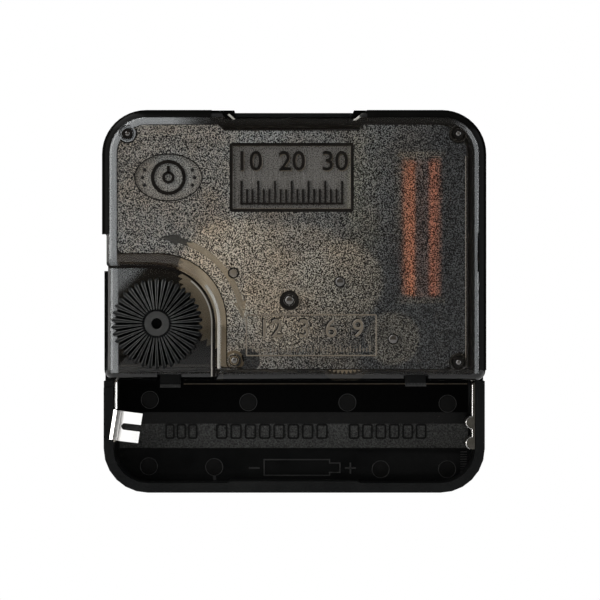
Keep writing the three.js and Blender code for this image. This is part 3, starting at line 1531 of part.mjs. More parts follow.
place('case', makeCase(), black);
place('back_cover', makeCover(), smoke);
place('middle_plate', makeMiddlePlate(), beige);
place('threaded_bush', makeBush(), brass);
place('rubber_washer', makeWasher(), rubber);
place('hex_nut', makeNut(), brass);
place('setting_knob', makeKnob(), black);
place('setting_shaft', makeShaft(), white);
place('motion_wheel', makeMotionWheel(), white);
place('hour_wheel', makeHourWheel(), white);
place('minute_tube', makeMinuteTube(), brass);
place('minute_clutch_gear', makeMinuteGear(), beige);
place('third_wheel', makeThirdWheel(), white);
place('seconds_wheel', makeSecondsWheel(), beige);
place('seconds_pin', makeSecondsPin(), steel);
place('crown_wheel', makeCrownWheel(), white);
place('idler_wheel', makeIdlerWheel(), beige);
place('rotor', makeRotor(), black);
place('rotor_magnet', makeMagnet(), magnetGrey);
place('stator', makeStator(), steel);
place('coil_core', makeCore(), steel);
place('coil_bobbin', makeBobbin(), beige);
place('coil_inner_winding', makeInnerWinding(), copper);
const wirePath = windingPath();
place('coil_outer_winding', makeOuterWinding(wirePath), copper);
console.log(`least gap of the winding to itself: ${leastWireGap(wirePath).toFixed(3)} mm`);
place('circuit_board', makeBoard(), boardGreen);
place('quartz_crystal', makeCrystal(), nickel);
place('driver_chip', makeChip(), black);
place('solder_joint_low', makeSolder(solderLowRise), solderGrey);
place('solder_joint_high', makeSolder(solderHighRise), solderGrey);
place('positive_contact', makePositiveContact(), nickel);
place('negative_contact', makeNegativeContact(), nickel);
place('negative_leaf', makeLeaf(), nickel);
const leaf = movement.getObjectByName('negative_leaf');
leaf.position.set(
  bayLeft + stripThickness + clearance + leafWidth / 2 * Math.sin(leafTilt),
  -foldDepth,
  bayCentreZ + (negativeTop - negativeBottom) / 2,
);
leaf.rotation.set(0, leafTilt, leafSlope, 'YZX');

export default movement;
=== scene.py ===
"""Looks of a battery quartz clock movement, seen from the back of its case.

Sizes are in millimetres: across to the right, up, and depth, which is measured from the dial seat
towards the viewer. They become metres of the shared frame as points are made.
"""

import json
import logging
import math
from dataclasses import dataclass, field
from enum import Enum
from functools import reduce
from typing import ClassVar, Sequence

import bmesh
import bpy
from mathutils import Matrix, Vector

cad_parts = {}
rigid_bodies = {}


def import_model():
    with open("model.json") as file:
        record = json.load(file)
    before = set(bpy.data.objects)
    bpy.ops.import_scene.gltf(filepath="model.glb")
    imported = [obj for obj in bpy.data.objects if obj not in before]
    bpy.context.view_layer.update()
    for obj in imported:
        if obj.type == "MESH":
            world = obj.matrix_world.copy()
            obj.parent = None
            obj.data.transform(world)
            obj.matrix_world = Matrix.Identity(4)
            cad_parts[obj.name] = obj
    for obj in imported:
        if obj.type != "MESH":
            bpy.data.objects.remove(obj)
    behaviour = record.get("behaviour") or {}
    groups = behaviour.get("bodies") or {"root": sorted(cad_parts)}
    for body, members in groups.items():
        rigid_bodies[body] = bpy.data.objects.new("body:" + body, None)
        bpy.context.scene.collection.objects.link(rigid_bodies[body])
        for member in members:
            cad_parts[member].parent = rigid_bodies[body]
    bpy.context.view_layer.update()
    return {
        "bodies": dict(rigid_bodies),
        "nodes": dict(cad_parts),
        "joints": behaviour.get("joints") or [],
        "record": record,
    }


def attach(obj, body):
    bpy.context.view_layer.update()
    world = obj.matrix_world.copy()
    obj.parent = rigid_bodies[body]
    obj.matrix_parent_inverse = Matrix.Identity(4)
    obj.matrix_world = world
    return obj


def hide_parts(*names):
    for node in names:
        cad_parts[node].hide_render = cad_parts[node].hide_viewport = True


MM = 0.001
Spot = tuple[float, float]
Colour = tuple[float, float, float]
Ring = list[Vector]
Socket = bpy.types.NodeSocket
TINY = 1e-9
OUTLINE_SPREAD = 0.25
TRAIL_SPREAD = 0.4
BEVEL_SHARE = 0.01
DUST_PATCH = 6.25
DUST_COLOUR = (0.16, 0.14, 0.12)
log = logging.getLogger("clock_movement")


# Points and outlines


def at(across: float, up: float, depth: float) -> Vector:
    """Point of the shared frame, in metres, from across, up and depth in millimetres."""
    return Vector((across, -depth, up)) * MM


def arc(centre: Spot, radius: float, start: float, end: float, steps: int) -> list[Spot]:
    """Spots on an arc, both ends included.

    Args:
        centre: Middle of the arc.
        radius: Its radius.
        start: Angle of the first spot in degrees, from the right and upwards.
        end: Angle of the last spot in degrees.
        steps: Number of chords.

    Returns:
        The spots in order.
    """
    turns = [math.radians(start + (end - start) * i / steps) for i in range(steps + 1)]
    return [(centre[0] + radius * math.cos(t), centre[1] + radius * math.sin(t)) for t in turns]


def circle(centre: Spot, radius: float, sides: int = 32) -> list[Spot]:
    """Spots of a closed circle, drawn upwards from the right."""
    return arc(centre, radius, 0.0, 360.0, sides)[:-1]


def ellipse(centre: Spot, reach: Spot, sides: int = 48) -> list[Spot]:
    """Spots of an upright ellipse with its half width and half height as reach."""
    return [(centre[0] + reach[0] * x, centre[1] + reach[1] * z) for x, z in circle((0, 0), 1, sides)]


def cornered(corners: Sequence[tuple[float, float, float]], steps: int = 6) -> list[Spot]:
    """Closed outline through corners that are each rounded by their own radius.

    Args:
        corners: Across, up and rounding of each corner, in order.
        steps: Chords in each rounding.

    Returns:
        The spots of the outline.
    """
    spots: list[Spot] = []
    for i, (x, z, radius) in enumerate(corners):
        here = Vector((x, z))
        if radius <= 0:
            spots.append((x, z))
            continue
        back = (Vector(corners[i - 1][:2]) - here).normalized()
        ahead = (Vector(corners[(i + 1) % len(corners)][:2]) - here).normalized()
        half = back.angle(ahead) / 2
        centre = here + (back + ahead).normalized() * radius / math.sin(half)
        first = here + back * radius / math.tan(half) - centre
        last = here + ahead * radius / math.tan(half) - centre
        start = math.atan2(first.y, first.x)
        turn = math.atan2(first.x * last.y - first.y * last.x, first.dot(last))
        spots += arc(tuple(centre), radius, math.degrees(start), math.degrees(start + turn), steps)
    return spots


def box(low: Spot, high: Spot, rounding: float = 0.0, steps: int = 4) -> list[Spot]:
    """Outline of an upright rectangle between two corners, with its corners rounded."""
    (x0, z0), (x1, z1) = low, high
    return cornered([(x0, z0, rounding), (x1, z0, rounding), (x1, z1, rounding), (x0, z1, rounding)], steps)


def corner_move(before: Vector, here: Vector, after: Vector, least: float) -> Vector:
    """How a corner moves as the sides beside it move one millimetre to their left.

    Args:
        before: Spot before the corner, or the corner itself at the start of a line.
        here: The corner.
        after: Spot after it, or the corner itself at the end of a line.
        least: Smallest spread, which keeps a sharp corner from running away.

    Returns:
        The corner's move.
    """
    sides = [side.normalized() for side in (here - before, after - here) if side.length > TINY]
    normals = [Vector((-side.y, side.x)) for side in sides]
    if len(normals) == 1:
        return normals[0]
    return (normals[0] + normals[1]) / max(1.0 + normals[0].dot(normals[1]), least)


def drawn_in(outline: Sequence[Spot], distance: float) -> list[Spot]:
    """The same outline moved inwards, for one that is drawn upwards from the right.

    Args:
        outline: Spots of a closed outline.
        distance: How far each side moves in.

    Returns:
        As many spots as the outline has.
    """
    corners = [Vector(spot) for spot in outline]
    spots: list[Spot] = []
    for i, here in enumerate(corners):
        after = corners[(i + 1) % len(corners)]
        moved = here + corner_move(corners[i - 1], here, after, OUTLINE_SPREAD) * distance
        spots.append((moved.x, moved.y))
    return spots


def linked(name: str, data: bpy.types.ID) -> bpy.types.Object:
    """Adds an object to the scene.

    Args:
        name: Name of the object.
        data: Its mesh, lamp, camera or text.

    Returns:
        The new object.
    """
    item = bpy.data.objects.new(name, data)
    bpy.context.scene.collection.objects.link(item)
    return item


class Form:
    """Faces of one piece, gathered from lofts, plates, trails, turned forms and tubes."""

    def __init__(self) -> None:
        """Starts with no faces."""
        self.points: list[Vector] = []
        self.faces: list[tuple[int, ...]] = []

    def loft(self, rings: Sequence[Ring], ends: bool = True, looped: bool = False) -> "Form":
        """Joins rings of equal counts.

        Args:
            rings: Rings of points in metres.
            ends: Whether the first and the last ring are closed with a face.
            looped: Whether the last ring joins the first.

        Returns:
            The form itself.
        """
        start, count, levels = len(self.points), len(rings[0]), len(rings)
        for ring in rings:
            self.points.extend(ring)
        for level in range(levels if looped else levels - 1):
            low, high = start + level * count, start + ((level + 1) % levels) * count
            for i in range(count):
                j = (i + 1) % count
                self.faces.append((low + i, low + j, high + j, high + i))
        if ends and not looped:
            self.faces.append(tuple(range(start + count - 1, start - 1, -1)))
            self.faces.append(tuple(range(start + (levels - 1) * count, start + levels * count)))
        return self

    def plate(self, outline: Sequence[Spot], low: float, high: float, edge: float = 0.05) -> "Form":
        """Flat plate between two depths, with its rear edge broken by a small chamfer."""
        levels = [(outline, low), (outline, high - edge), (drawn_in(outline, edge), high)]
        return self.loft([[at(x, z, depth) for x, z in spots] for spots, depth in levels])

    def trail(self, path: Sequence[Spot], width: float, low: float, high: float,
              looped: bool = False, edge: float = 0.03) -> "Form":
        """Raised line of a given width along a path.

        Args:
            path: Spots of its middle line.
            width: Width of the line.
            low: Depth of its foot.
            high: Depth of its top.
            looped: Whether the path is closed.
            edge: Chamfer along both top edges.

        Returns:
            The form itself.
        """
        half, last = width / 2, len(path) - 1
        section = [(-half, low), (-half, high - edge), (edge - half, high),
                   (half - edge, high), (half, high - edge), (half, low)]
        rings: list[Ring] = []
        for i, (x, z) in enumerate(path):
            before = path[i - 1] if looped or i > 0 else path[i]
            after = path[(i + 1) % len(path)] if looped or i < last else path[i]
            across = corner_move(Vector(before), Vector((x, z)), Vector(after), TRAIL_SPREAD)
            rings.append([at(x + across.x * side, z + across.y * side, depth) for side, depth in section])
        return self.loft(rings, looped=looped)

    def turned(self, centre: Spot, profile: Sequence[Spot], sides: int = 40) -> "Form":
        """Form turned about the depth axis from radius and depth pairs, with closed ends."""
        return self.loft([[at(x, z, depth) for x, z in circle(centre, max(radius, 0.01), sides)]
                          for radius, depth in profile])

    def dome(self, centre: Spot, radius: float, low: float, high: float, sides: int = 28) -> "Form":
        """Half-round button.

        Args:
            centre: Middle of the button.
            radius: Radius of its foot.
            low: Depth of its foot.
            high: Depth of its top.
            sides: Sides of its outline.

        Returns:
            The form itself.
        """
        rise = [math.radians(a) for a in (0, 18, 36, 54, 72, 88)]
        profile = [(radius * math.cos(a), low + (high - low) * math.sin(a)) for a in rise]
        return self.turned(centre, profile, sides)

    def tube(self, path: Sequence[Vector], radius: float, sides: int = 8) -> "Form":
        """Round wire along points in metres.

        Args:
            path: Points of its middle line.
            radius: Radius of the wire in millimetres.
            sides: Sides of its section.

        Returns:
            The form itself.
        """
        rings: list[Ring] = []
        side = Vector((0.3, 0.9, 0.31))
        for i, point in enumerate(path):
            ahead = (path[min(i + 1, len(path) - 1)] - path[max(i - 1, 0)]).normalized()
            side = (side - ahead * side.dot(ahead)).normalized()
            other = ahead.cross(side)
            turns = [2 * math.pi * k / sides for k in range(sides)]
            rings.append([point + (side * math.cos(t) + other * math.sin(t)) * radius * MM for t in turns])
        return self.loft(rings)

    def build(self, name: str, angle: float = 38.0) -> bpy.types.Object:
        """Turns the faces into an object.

        Args:
            name: Name of the piece.
            angle: Edges bent by more than this many degrees stay sharp.

        Returns:
            The new object.
        """
        mesh = bpy.data.meshes.new(name)
        mesh.from_pydata([tuple(p) for p in self.points], [], self.faces)
        work = bmesh.new()
        work.from_mesh(mesh)
        bmesh.ops.recalc_face_normals(work, faces=work.faces)
        work.to_mesh(mesh)
        work.free()
        mesh.shade_smooth()
        mesh.set_sharp_from_angle(angle=math.radians(angle))
        return linked(name, mesh)


def lettered(name: str, words: str, middle: Spot, size: float, low: float,
             high: float) -> bpy.types.Object:
    """Raised characters that face the viewer.

    Args:
        name: Name of the piece.
        words: What is written.
        middle: Middle of the writing.
        size: Size of the characters in millimetres.
        low: Depth of their foot.
        high: Depth of their top.

    Returns:
        The new object, a mesh.
    """
    curve = bpy.data.curves.new(name, "FONT")
    curve.body = words
    curve.size = size
    curve.align_x = "CENTER"
    curve.align_y = "CENTER"
    curve.bevel_depth = size * BEVEL_SHARE
    curve.extrude = (high - low) / 2 - curve.bevel_depth
    curve.bevel_resolution = 0
    curve.resolution_u = 5
    draft = linked(name + "_draft", curve)
    depsgraph = bpy.context.evaluated_depsgraph_get()
    mesh = bpy.data.meshes.new_from_object(draft.evaluated_get(depsgraph))
    bpy.data.objects.remove(draft)
    for vertex in mesh.vertices:
        x, z, rise = vertex.co
        vertex.co = at(middle[0] + x, middle[1] + z, (low + high) / 2 + rise)
    mesh.name = name
    mesh.materials.clear()
    mesh.shade_smooth()
    mesh.set_sharp_from_angle(angle=math.radians(35))
    return linked(name, mesh)


# Nodes and effects


class Wiring:
    """Adds nodes to one tree and joins them."""

    def __init__(self, tree: bpy.types.NodeTree) -> None:
        """Keeps the tree that the nodes go into."""
        self.tree = tree

    def add(self, kind: str, wires: dict | None = None, **settings: object) -> bpy.types.Node:
        """Adds a node.

        Args:
            kind: The node's type.
            wires: For each input, a value or the output that feeds it.
            **settings: Properties of the node.

        Returns:
            The new node.
        """
        node = self.tree.nodes.new(kind)
        for name, value in settings.items():
            setattr(node, name, value)
        self.feed(node, wires or {})
        return node

    def feed(self, node: bpy.types.Node, wires: dict) -> None:
        """Feeds a node.

        Args:
            node: The node.
            wires: For each input, a value or the output that feeds it.
        """
        for key, value in wires.items():
            if isinstance(value, Socket):
                self.tree.links.new(value, node.inputs[key])
            else:
                node.inputs[key].default_value = value

    def place(self, effect: bpy.types.NodeTree, place: Socket, **values: object) -> bpy.types.Node:
        """Puts a shared effect into the tree, with its own values."""
        return self.add("ShaderNodeGroup", {"Place": place, **values}, node_tree=effect)

    def maths(self, operation: str, *values: object, clamp: bool = False) -> Socket:
        """Result of one sum on numbers or outputs."""
        wires = dict(enumerate(values))
        return self.add("ShaderNodeMath", wires, operation=operation, use_clamp=clamp).outputs[0]

    def times(self, *values: object) -> Socket:
        """Product of numbers or outputs."""
        return reduce(lambda first, second: self.maths("MULTIPLY", first, second), values)

    def less(self, first: object, second: object) -> Socket:
        """First value less the second."""
        return self.maths("SUBTRACT", first, second)

    def most(self, *values: object) -> Socket:
        """Largest of numbers or outputs."""
        return reduce(lambda first, second: self.maths("MAXIMUM", first, second), values)

    def share(self, first: object, second: object) -> Socket:
        """First value divided by the second."""
        return self.maths("DIVIDE", first, second)

    def reach(self, across: object, up: object) -> Socket:
        """Distance of a spot from the middle."""
        squares = [self.maths("POWER", value, 2.0) for value in (across, up)]
        return self.maths("POWER", self.maths("ADD", *squares), 0.5)

    def between(self, factor: object, low: object, high: object) -> Socket:
        """Number between two others by a factor."""
        return self.add("ShaderNodeMix", {0: factor, 2: low, 3: high}, data_type="FLOAT").outputs[0]

    def tinted(self, factor: object, first: object, second: object) -> Socket:
        """Colour between two others by a factor."""
        return self.add("ShaderNodeMix", {0: factor, 6: first, 7: second}, data_type="RGBA").outputs[2]

    def ranged(self, value: object, low: float, high: float, first: float = 0.0,
               last: float = 1.0) -> Socket:
        """Value fitted from one range to another, and held inside it."""
        wires = {"Value": value, "From Min": low, "From Max": high, "To Min": first, "To Max": last}
        return self.add("ShaderNodeMapRange", wires).outputs[0]


def rgba(colour: Colour) -> tuple[float, float, float, float]:
    """Colour with full cover."""
    return (*colour, 1.0)


def blank_material(name: str) -> tuple[bpy.types.Material, Wiring, bpy.types.Node]:
    """Makes a material.

    Args:
        name: Its name.

    Returns:
        The material, its wiring and its shader.
    """
    material = bpy.data.materials.new(name)
    material.use_nodes = True
    return material, Wiring(material.node_tree), material.node_tree.nodes["Principled BSDF"]


class Effect:
    """A shader node group that is built once, with named inputs and outputs."""

    def __init__(self, name: str, takes: dict[str, object], *gives: str) -> None:
        """Makes the group and its sockets.

        Args:
            name: Name of the effect.
            takes: Usual value of each input beside Place: a number, or a colour with its cover.
            *gives: Names of the outputs. One named Colour is a colour, and the others are numbers.
        """
        self.tree = bpy.data.node_groups.new(name, "ShaderNodeTree")
        sockets = self.tree.interface
        sockets.new_socket("Place", in_out="INPUT", socket_type="NodeSocketVector")
        for label, value in takes.items():
            kind = "NodeSocketColor" if isinstance(value, tuple) else "NodeSocketFloat"
            sockets.new_socket(label, in_out="INPUT", socket_type=kind).default_value = value
        for label in gives:
            kind = "NodeSocketColor" if label == "Colour" else "NodeSocketFloat"
            sockets.new_socket(label, in_out="OUTPUT", socket_type=kind)
        self.wiring = Wiring(self.tree)
        self.inputs = self.tree.nodes.new("NodeGroupInput").outputs
        self.results = self.tree.nodes.new("NodeGroupOutput").inputs

    def give(self, label: str, value: Socket) -> None:
        """Feeds one output of the group."""
        self.tree.links.new(value, self.results[label])

    def millimetres(self) -> Socket:
        """The group's place input in millimetres."""
        wires = {0: self.inputs["Place"], "Scale": 1 / MM}
        return self.wiring.add("ShaderNodeVectorMath", wires, operation="SCALE").outputs[0]

    def parts(self) -> tuple[Socket, ...]:
        """Across, minus depth and up of the place input, in millimetres."""
        return tuple(self.wiring.add("ShaderNodeSeparateXYZ", {0: self.millimetres()}).outputs)

    def noise(self, size: object, detail: float) -> Socket:
        """Noise over the place, with lumps of a size in millimetres."""
        wires = {"Vector": self.millimetres(), "Scale": self.wiring.share(1.0, size), "Detail": detail}
        return self.wiring.add("ShaderNodeTexNoise", wires).outputs[0]


def moulded_grain() -> bpy.types.NodeTree:
    """Fine pebbled grain of moulded plastic.

    Returns:
        Group that takes Place and Size, the size of a pebble, and gives Height and Fleck.
    """
    effect = Effect("moulded_grain", {"Size": 0.3}, "Height", "Fleck")
    w = effect.wiring
    wires = {"Vector": effect.millimetres(), "Scale": w.share(1.0, effect.inputs["Size"])}
    cells = w.add("ShaderNodeTexVoronoi", wires, feature="SMOOTH_F1").outputs["Distance"]
    ripple = effect.noise(effect.inputs["Size"], 0.0)
    effect.give("Height", w.between(0.45, w.ranged(cells, 0.1, 0.8), ripple))
    effect.give("Fleck", w.ranged(ripple, 0.32, 0.68))
    return effect.tree


def uneven_tone() -> bpy.types.NodeTree:
    """Slow drift of a surface between two colours.

    Returns:
        Group that takes Place, Size, Main and Other, and gives Colour and Drift.
    """
    effect = Effect("uneven_tone", {"Size": 4.0, "Main": rgba((0.5, 0.5, 0.5)),
                                    "Other": rgba((0.4, 0.4, 0.4))}, "Colour", "Drift")
    drift = effect.wiring.ranged(effect.noise(effect.inputs["Size"], 4.0), 0.3, 0.7)
    effect.give("Colour", effect.wiring.tinted(drift, effect.inputs["Main"], effect.inputs["Other"]))
    effect.give("Drift", drift)
    return effect.tree


def tool_marks() -> bpy.types.NodeTree:
    """Fine lines left by a tool, turned about the hands' axis or drawn straight upwards.

    Returns:
        Group that takes Place, Pitch and Straight, and gives Height.
    """
    effect = Effect("tool_marks", {"Pitch": 0.1, "Straight": 0.0}, "Height")
    w = effect.wiring
    x, _, z = effect.parts()
    line = w.between(effect.inputs["Straight"], w.reach(x, z), x)
    wires = {"W": w.share(line, effect.inputs["Pitch"]), "Scale": 1.0, "Detail": 2.0}
    effect.give("Height", w.add("ShaderNodeTexNoise", wires, noise_dimensions="1D").outputs[0])
    return effect.tree


def inside_box() -> bpy.types.NodeTree:
    """Mask of a rounded box drawn across and up.

    Returns:
        Group that takes Place, Across and Up of the box's middle, Reach and Rise, its half width and
        half height, Round and Blur, and gives Mask and Gap, the distance from the outline, which is
        positive inside it.
    """
    effect = Effect("inside_box", {"Across": 0.0, "Up": 0.0, "Reach": 1.0, "Rise": 1.0, "Round": 0.5,
                                   "Blur": 0.05}, "Mask", "Gap")
    w = effect.wiring
    x, _, z = effect.parts()
    outer = []
    for value, middle, half in ((x, "Across", "Reach"), (z, "Up", "Rise")):
        off = w.maths("ABSOLUTE", w.less(value, effect.inputs[middle]))
        outer.append(w.less(off, w.less(effect.inputs[half], effect.inputs["Round"])))
    corner = w.reach(*(w.most(reach, 0.0) for reach in outer))
    flat = w.maths("MINIMUM", w.most(*outer), 0.0)
    gap = w.less(w.maths("ADD", corner, flat), effect.inputs["Round"])
    effect.give("Mask", w.maths("SUBTRACT", 0.5, w.share(gap, effect.inputs["Blur"]), clamp=True))
    effect.give("Gap", w.times(gap, -1.0))
    return effect.tree


def depth_band() -> bpy.types.NodeTree:
    """Mask of all that lies between two depths.

    Returns:
        Group that takes Place, From, To and Blur, and gives Mask.
    """
    effect = Effect("depth_band", {"From": 0.0, "To": 1.0, "Blur": 0.02}, "Mask")
    w = effect.wiring
    depth = w.times(effect.parts()[1], -1.0)
    rises = [w.maths("DIVIDE", rise, effect.inputs["Blur"], clamp=True)
             for rise in (w.less(depth, effect.inputs["From"]), w.less(effect.inputs["To"], depth))]
    effect.give("Mask", w.times(*rises))
    return effect.tree


def curved_arrow() -> bpy.types.NodeTree:
    """Mask of a curved arrow with a head at both ends.

    Returns:
        Group that takes Place, Across, Up, Radius, Width, Head, Start, End and Taper, the last three
        in degrees, and gives Mask.
    """
    effect = Effect("curved_arrow", {"Across": 0.0, "Up": 0.0, "Radius": 10.0, "Width": 0.8, "Head": 1.7,
                                     "Start": 0.0, "End": 90.0, "Taper": 13.0}, "Mask")
    w, given = effect.wiring, effect.inputs
    x, _, z = effect.parts()
    side, rise = w.less(x, given["Across"]), w.less(z, given["Up"])
    turn = w.maths("DEGREES", w.maths("ARCTAN2", rise, side))
    ends = w.maths("MINIMUM", w.less(turn, given["Start"]), w.less(given["End"], turn))
    share = w.share(ends, given["Taper"])
    head = w.times(w.most(share, 0.0), given["Head"])
    half = w.times(w.between(w.maths("LESS_THAN", share, 1.0), given["Width"], head), 0.5)
    off = w.maths("ABSOLUTE", w.less(w.reach(side, rise), given["Radius"]))
    sharpness = 12.0
    inside = w.maths("MULTIPLY", w.less(half, off), sharpness, clamp=True)
    effect.give("Mask", w.times(inside, w.maths("GREATER_THAN", ends, 0.0)))
    return effect.tree


def settled_dust() -> bpy.types.NodeTree:
    """Small pale specks that lie on a surface, thick in some patches.

    Returns:
        Group that takes Place, Size and Amount, and gives Mask.
    """
    effect = Effect("settled_dust", {"Size": 0.12, "Amount": 0.3}, "Mask")
    w = effect.wiring
    spot = w.ranged(effect.noise(effect.inputs["Size"], 1.0), 0.66, 0.74)
    near = w.ranged(effect.noise(DUST_PATCH, 2.0), 0.35, 0.7)
    effect.give("Mask", w.maths("MULTIPLY", w.times(spot, near), effect.inputs["Amount"], clamp=True))
    return effect.tree


@dataclass
class Effects:
    """The shared effects, each built once."""

    grain: bpy.types.NodeTree = field(default_factory=moulded_grain)
    tone: bpy.types.NodeTree = field(default_factory=uneven_tone)
    marks: bpy.types.NodeTree = field(default_factory=tool_marks)
    box: bpy.types.NodeTree = field(default_factory=inside_box)
    band: bpy.types.NodeTree = field(default_factory=depth_band)
    arrow: bpy.types.NodeTree = field(default_factory=curved_arrow)
    dust: bpy.types.NodeTree = field(default_factory=settled_dust)


# Finishes


class Texture(Enum):
    """How a surface was made, as its fine relief shows."""

    MOULDED = "moulded"
    TURNED = "turned"
    DRAWN = "drawn"


@dataclass(frozen=True)
class Finish:
    """Finish of an opaque piece: its colours, gloss and fine relief."""

    name: str
    colour: Colour
    other: Colour
    roughness: float = 0.5
    metallic: float = 0.0
    specular: float = 0.5
    coat: float = 0.0
    texture: Texture = Texture.MOULDED
    size: float = 0.3
    relief: float = 0.006
    drift: float = 4.0
    dust: float = 0.0

    def material(self, effects: Effects) -> bpy.types.Material:
        """Builds the material, or gives the one that is already built.

        Args:
            effects: The shared effects.

        Returns:
            The material.
        """
        if self.name in bpy.data.materials:
            return bpy.data.materials[self.name]
        material, w, shader = blank_material(self.name)
        place = w.add("ShaderNodeTexCoord").outputs["Object"]
        tone = w.place(effects.tone, place, Size=self.drift, Main=rgba(self.colour),
                       Other=rgba(self.other)).outputs
        colour = tone["Colour"]
        if self.dust:
            specks = w.place(effects.dust, place, Amount=self.dust)
            colour = w.tinted(specks.outputs["Mask"], colour, rgba(DUST_COLOUR))
        if self.texture is Texture.MOULDED:
            relief = w.place(effects.grain, place, Size=self.size)
        else:
            straight = 1.0 if self.texture is Texture.DRAWN else 0.0
            relief = w.place(effects.marks, place, Pitch=self.size, Straight=straight)
        bump = w.add("ShaderNodeBump", {"Height": relief.outputs["Height"], "Distance": self.relief * MM})
        gloss = w.ranged(tone["Drift"], 0.0, 1.0, self.roughness * 0.9, self.roughness * 1.12)
        w.feed(shader, {"Base Color": colour, "Normal": bump.outputs[0], "Roughness": gloss,
                        "Metallic": self.metallic, "Specular IOR Level": self.specular,
                        "Coat Weight": self.coat})
        return material


BLACK_PLASTIC = Finish("black_case_plastic", (0.0022, 0.0024, 0.0025), (0.004, 0.0043, 0.0042),
                       roughness=0.32, specular=0.13, size=0.22, relief=0.012)
KNOB_PLASTIC = Finish("black_knob_plastic", (0.0022, 0.0024, 0.0025), (0.004, 0.0043, 0.0045),
                      roughness=0.34, specular=0.05, size=0.14, relief=0.014, drift=1.5, dust=0.04)
MARK_PLASTIC = Finish("raised_mark_plastic", (0.0026, 0.0027, 0.0026), (0.005, 0.005, 0.0048),
                      roughness=0.4, specular=0.1, size=0.2, relief=0.01, drift=1.0, dust=0.2)
# Painted sheen: a lighter black where raised marks, rims, ribs and the knob's hub catch the light; its pale
# specks are real dust.
DUSTY_SHEEN_PLASTIC = Finish("dusty_black_plastic_painted_sheen", (0.013, 0.0134, 0.0132), (0.024, 0.024, 0.023),
                      roughness=0.45, specular=0.4, size=0.2, relief=0.012, drift=0.8, dust=0.15)
# Painted highlight: pale lines on the crests of the knob's ridges.
CREST_HIGHLIGHT_PLASTIC = Finish("knob_crest_painted_highlight", (0.1, 0.103, 0.098), (0.03, 0.03, 0.029),
                       roughness=0.22, specular=0.6, size=0.12, relief=0.01, drift=0.45)
# Coarse grain whose pale specks are partly real texture and partly painted light, for the lit lower half of
# the bay's band.
COARSE_PLASTIC = Finish("coarse_black_plastic", (0.004, 0.004, 0.0039), (0.062, 0.063, 0.06),
                        roughness=0.4, specular=0.2, size=0.16, relief=0.12, drift=0.22, dust=0.2)
# Painted shade: the near-black of the cover's thick rounded edge; also the black ends of the top notch.
EDGE_PLASTIC = Finish("glossy_edge_plastic", (0.0012, 0.0012, 0.0011), (0.002, 0.002, 0.0018),
                      roughness=0.2, specular=0.02, relief=0.002)
# Painted shade: a darker black for the bay's floor under the partition, where shade falls.
SHADE_PLASTIC = Finish("black_plastic_painted_shade", (0.0008, 0.0009, 0.0009), (0.0014, 0.0014, 0.0014),
                      roughness=0.8, specular=0.03, size=0.22, relief=0.01)
BEIGE_PLASTIC = Finish("beige_acetal", (0.4, 0.315, 0.205), (0.35, 0.275, 0.175), roughness=0.5, size=0.5)
WHITE_PLASTIC = Finish("ivory_acetal", (0.4, 0.33, 0.23), (0.34, 0.28, 0.19), roughness=0.45, size=0.5)
BOBBIN_PLASTIC = Finish("natural_bobbin_plastic", (0.4, 0.33, 0.22), (0.33, 0.27, 0.18), roughness=0.5)
BRASS = Finish("turned_brass", (0.62, 0.42, 0.16), (0.5, 0.33, 0.12), roughness=0.26, metallic=1.0,
               texture=Texture.TURNED, size=0.09, drift=2.5)
STEEL = Finish("ground_steel", (0.22, 0.225, 0.23), (0.17, 0.175, 0.18), roughness=0.24, metallic=1.0,
               texture=Texture.TURNED, size=0.05, relief=0.003, drift=1.5)
NICKEL = Finish("nickel_strip", (0.62, 0.58, 0.5), (0.5, 0.455, 0.38), roughness=0.2, metallic=1.0,
                texture=Texture.DRAWN, size=0.05, relief=0.002, drift=1.8)
SPRING_NICKEL = Finish("bright_spring_nickel", (0.97, 0.955, 0.93), (0.9, 0.885, 0.86), roughness=0.16,
                       metallic=1.0, texture=Texture.DRAWN, size=0.05, relief=0.002, drift=1.8)
# Painted shade: a darkened copy of nickel for the positive strip, whose edge carries a painted highlight.
SHADED_NICKEL = Finish("nickel_strip_painted_shade", (0.13, 0.122, 0.105), (0.08, 0.075, 0.062), roughness=0.36,
                     metallic=1.0, texture=Texture.DRAWN, size=0.05, relief=0.002, drift=1.2)
COPPER = Finish("enamelled_copper", (0.92, 0.34, 0.14), (0.8, 0.26, 0.1), roughness=0.35, metallic=0.45,
                texture=Texture.DRAWN, size=0.05, relief=0.001, drift=1.2)
# Painted dark reflection: the dark middle of the round copper winding, between its two glints.
WINDING_DARK_BAND = Finish("winding_painted_dark_reflection", (0.3, 0.13, 0.07), (0.2, 0.08, 0.05), roughness=0.5, specular=0.2,
                 texture=Texture.DRAWN, size=0.18, relief=0.01, drift=1.5)
MAGNET = Finish("sintered_magnet", (0.07, 0.07, 0.075), (0.1, 0.1, 0.1), roughness=0.45, metallic=0.7,
                size=0.12, relief=0.01)
LAMINATE = Finish("board_laminate", (0.3, 0.31, 0.19), (0.25, 0.26, 0.15), roughness=0.4, coat=0.2,
                  texture=Texture.DRAWN, size=0.22, relief=0.01, drift=2.0)
RUBBER = Finish("black_rubber", (0.012, 0.012, 0.012), (0.02, 0.02, 0.019), roughness=0.75, specular=0.3,
                size=0.35, relief=0.02, dust=0.5)
SOLDER = Finish("dull_solder", (0.5, 0.48, 0.44), (0.38, 0.36, 0.32), roughness=0.35, metallic=1.0,
                relief=0.02, drift=0.5)
# Also painted shade: the dark line round the panel, the dark foot of the well's wall and the shadow copy of
# the box's numbers.
SMOKED_TRIM = Finish("smoked_trim", (0.004, 0.0035, 0.003), (0.007, 0.006, 0.005), roughness=0.25,
                     specular=0.14, size=0.2, relief=0.004)
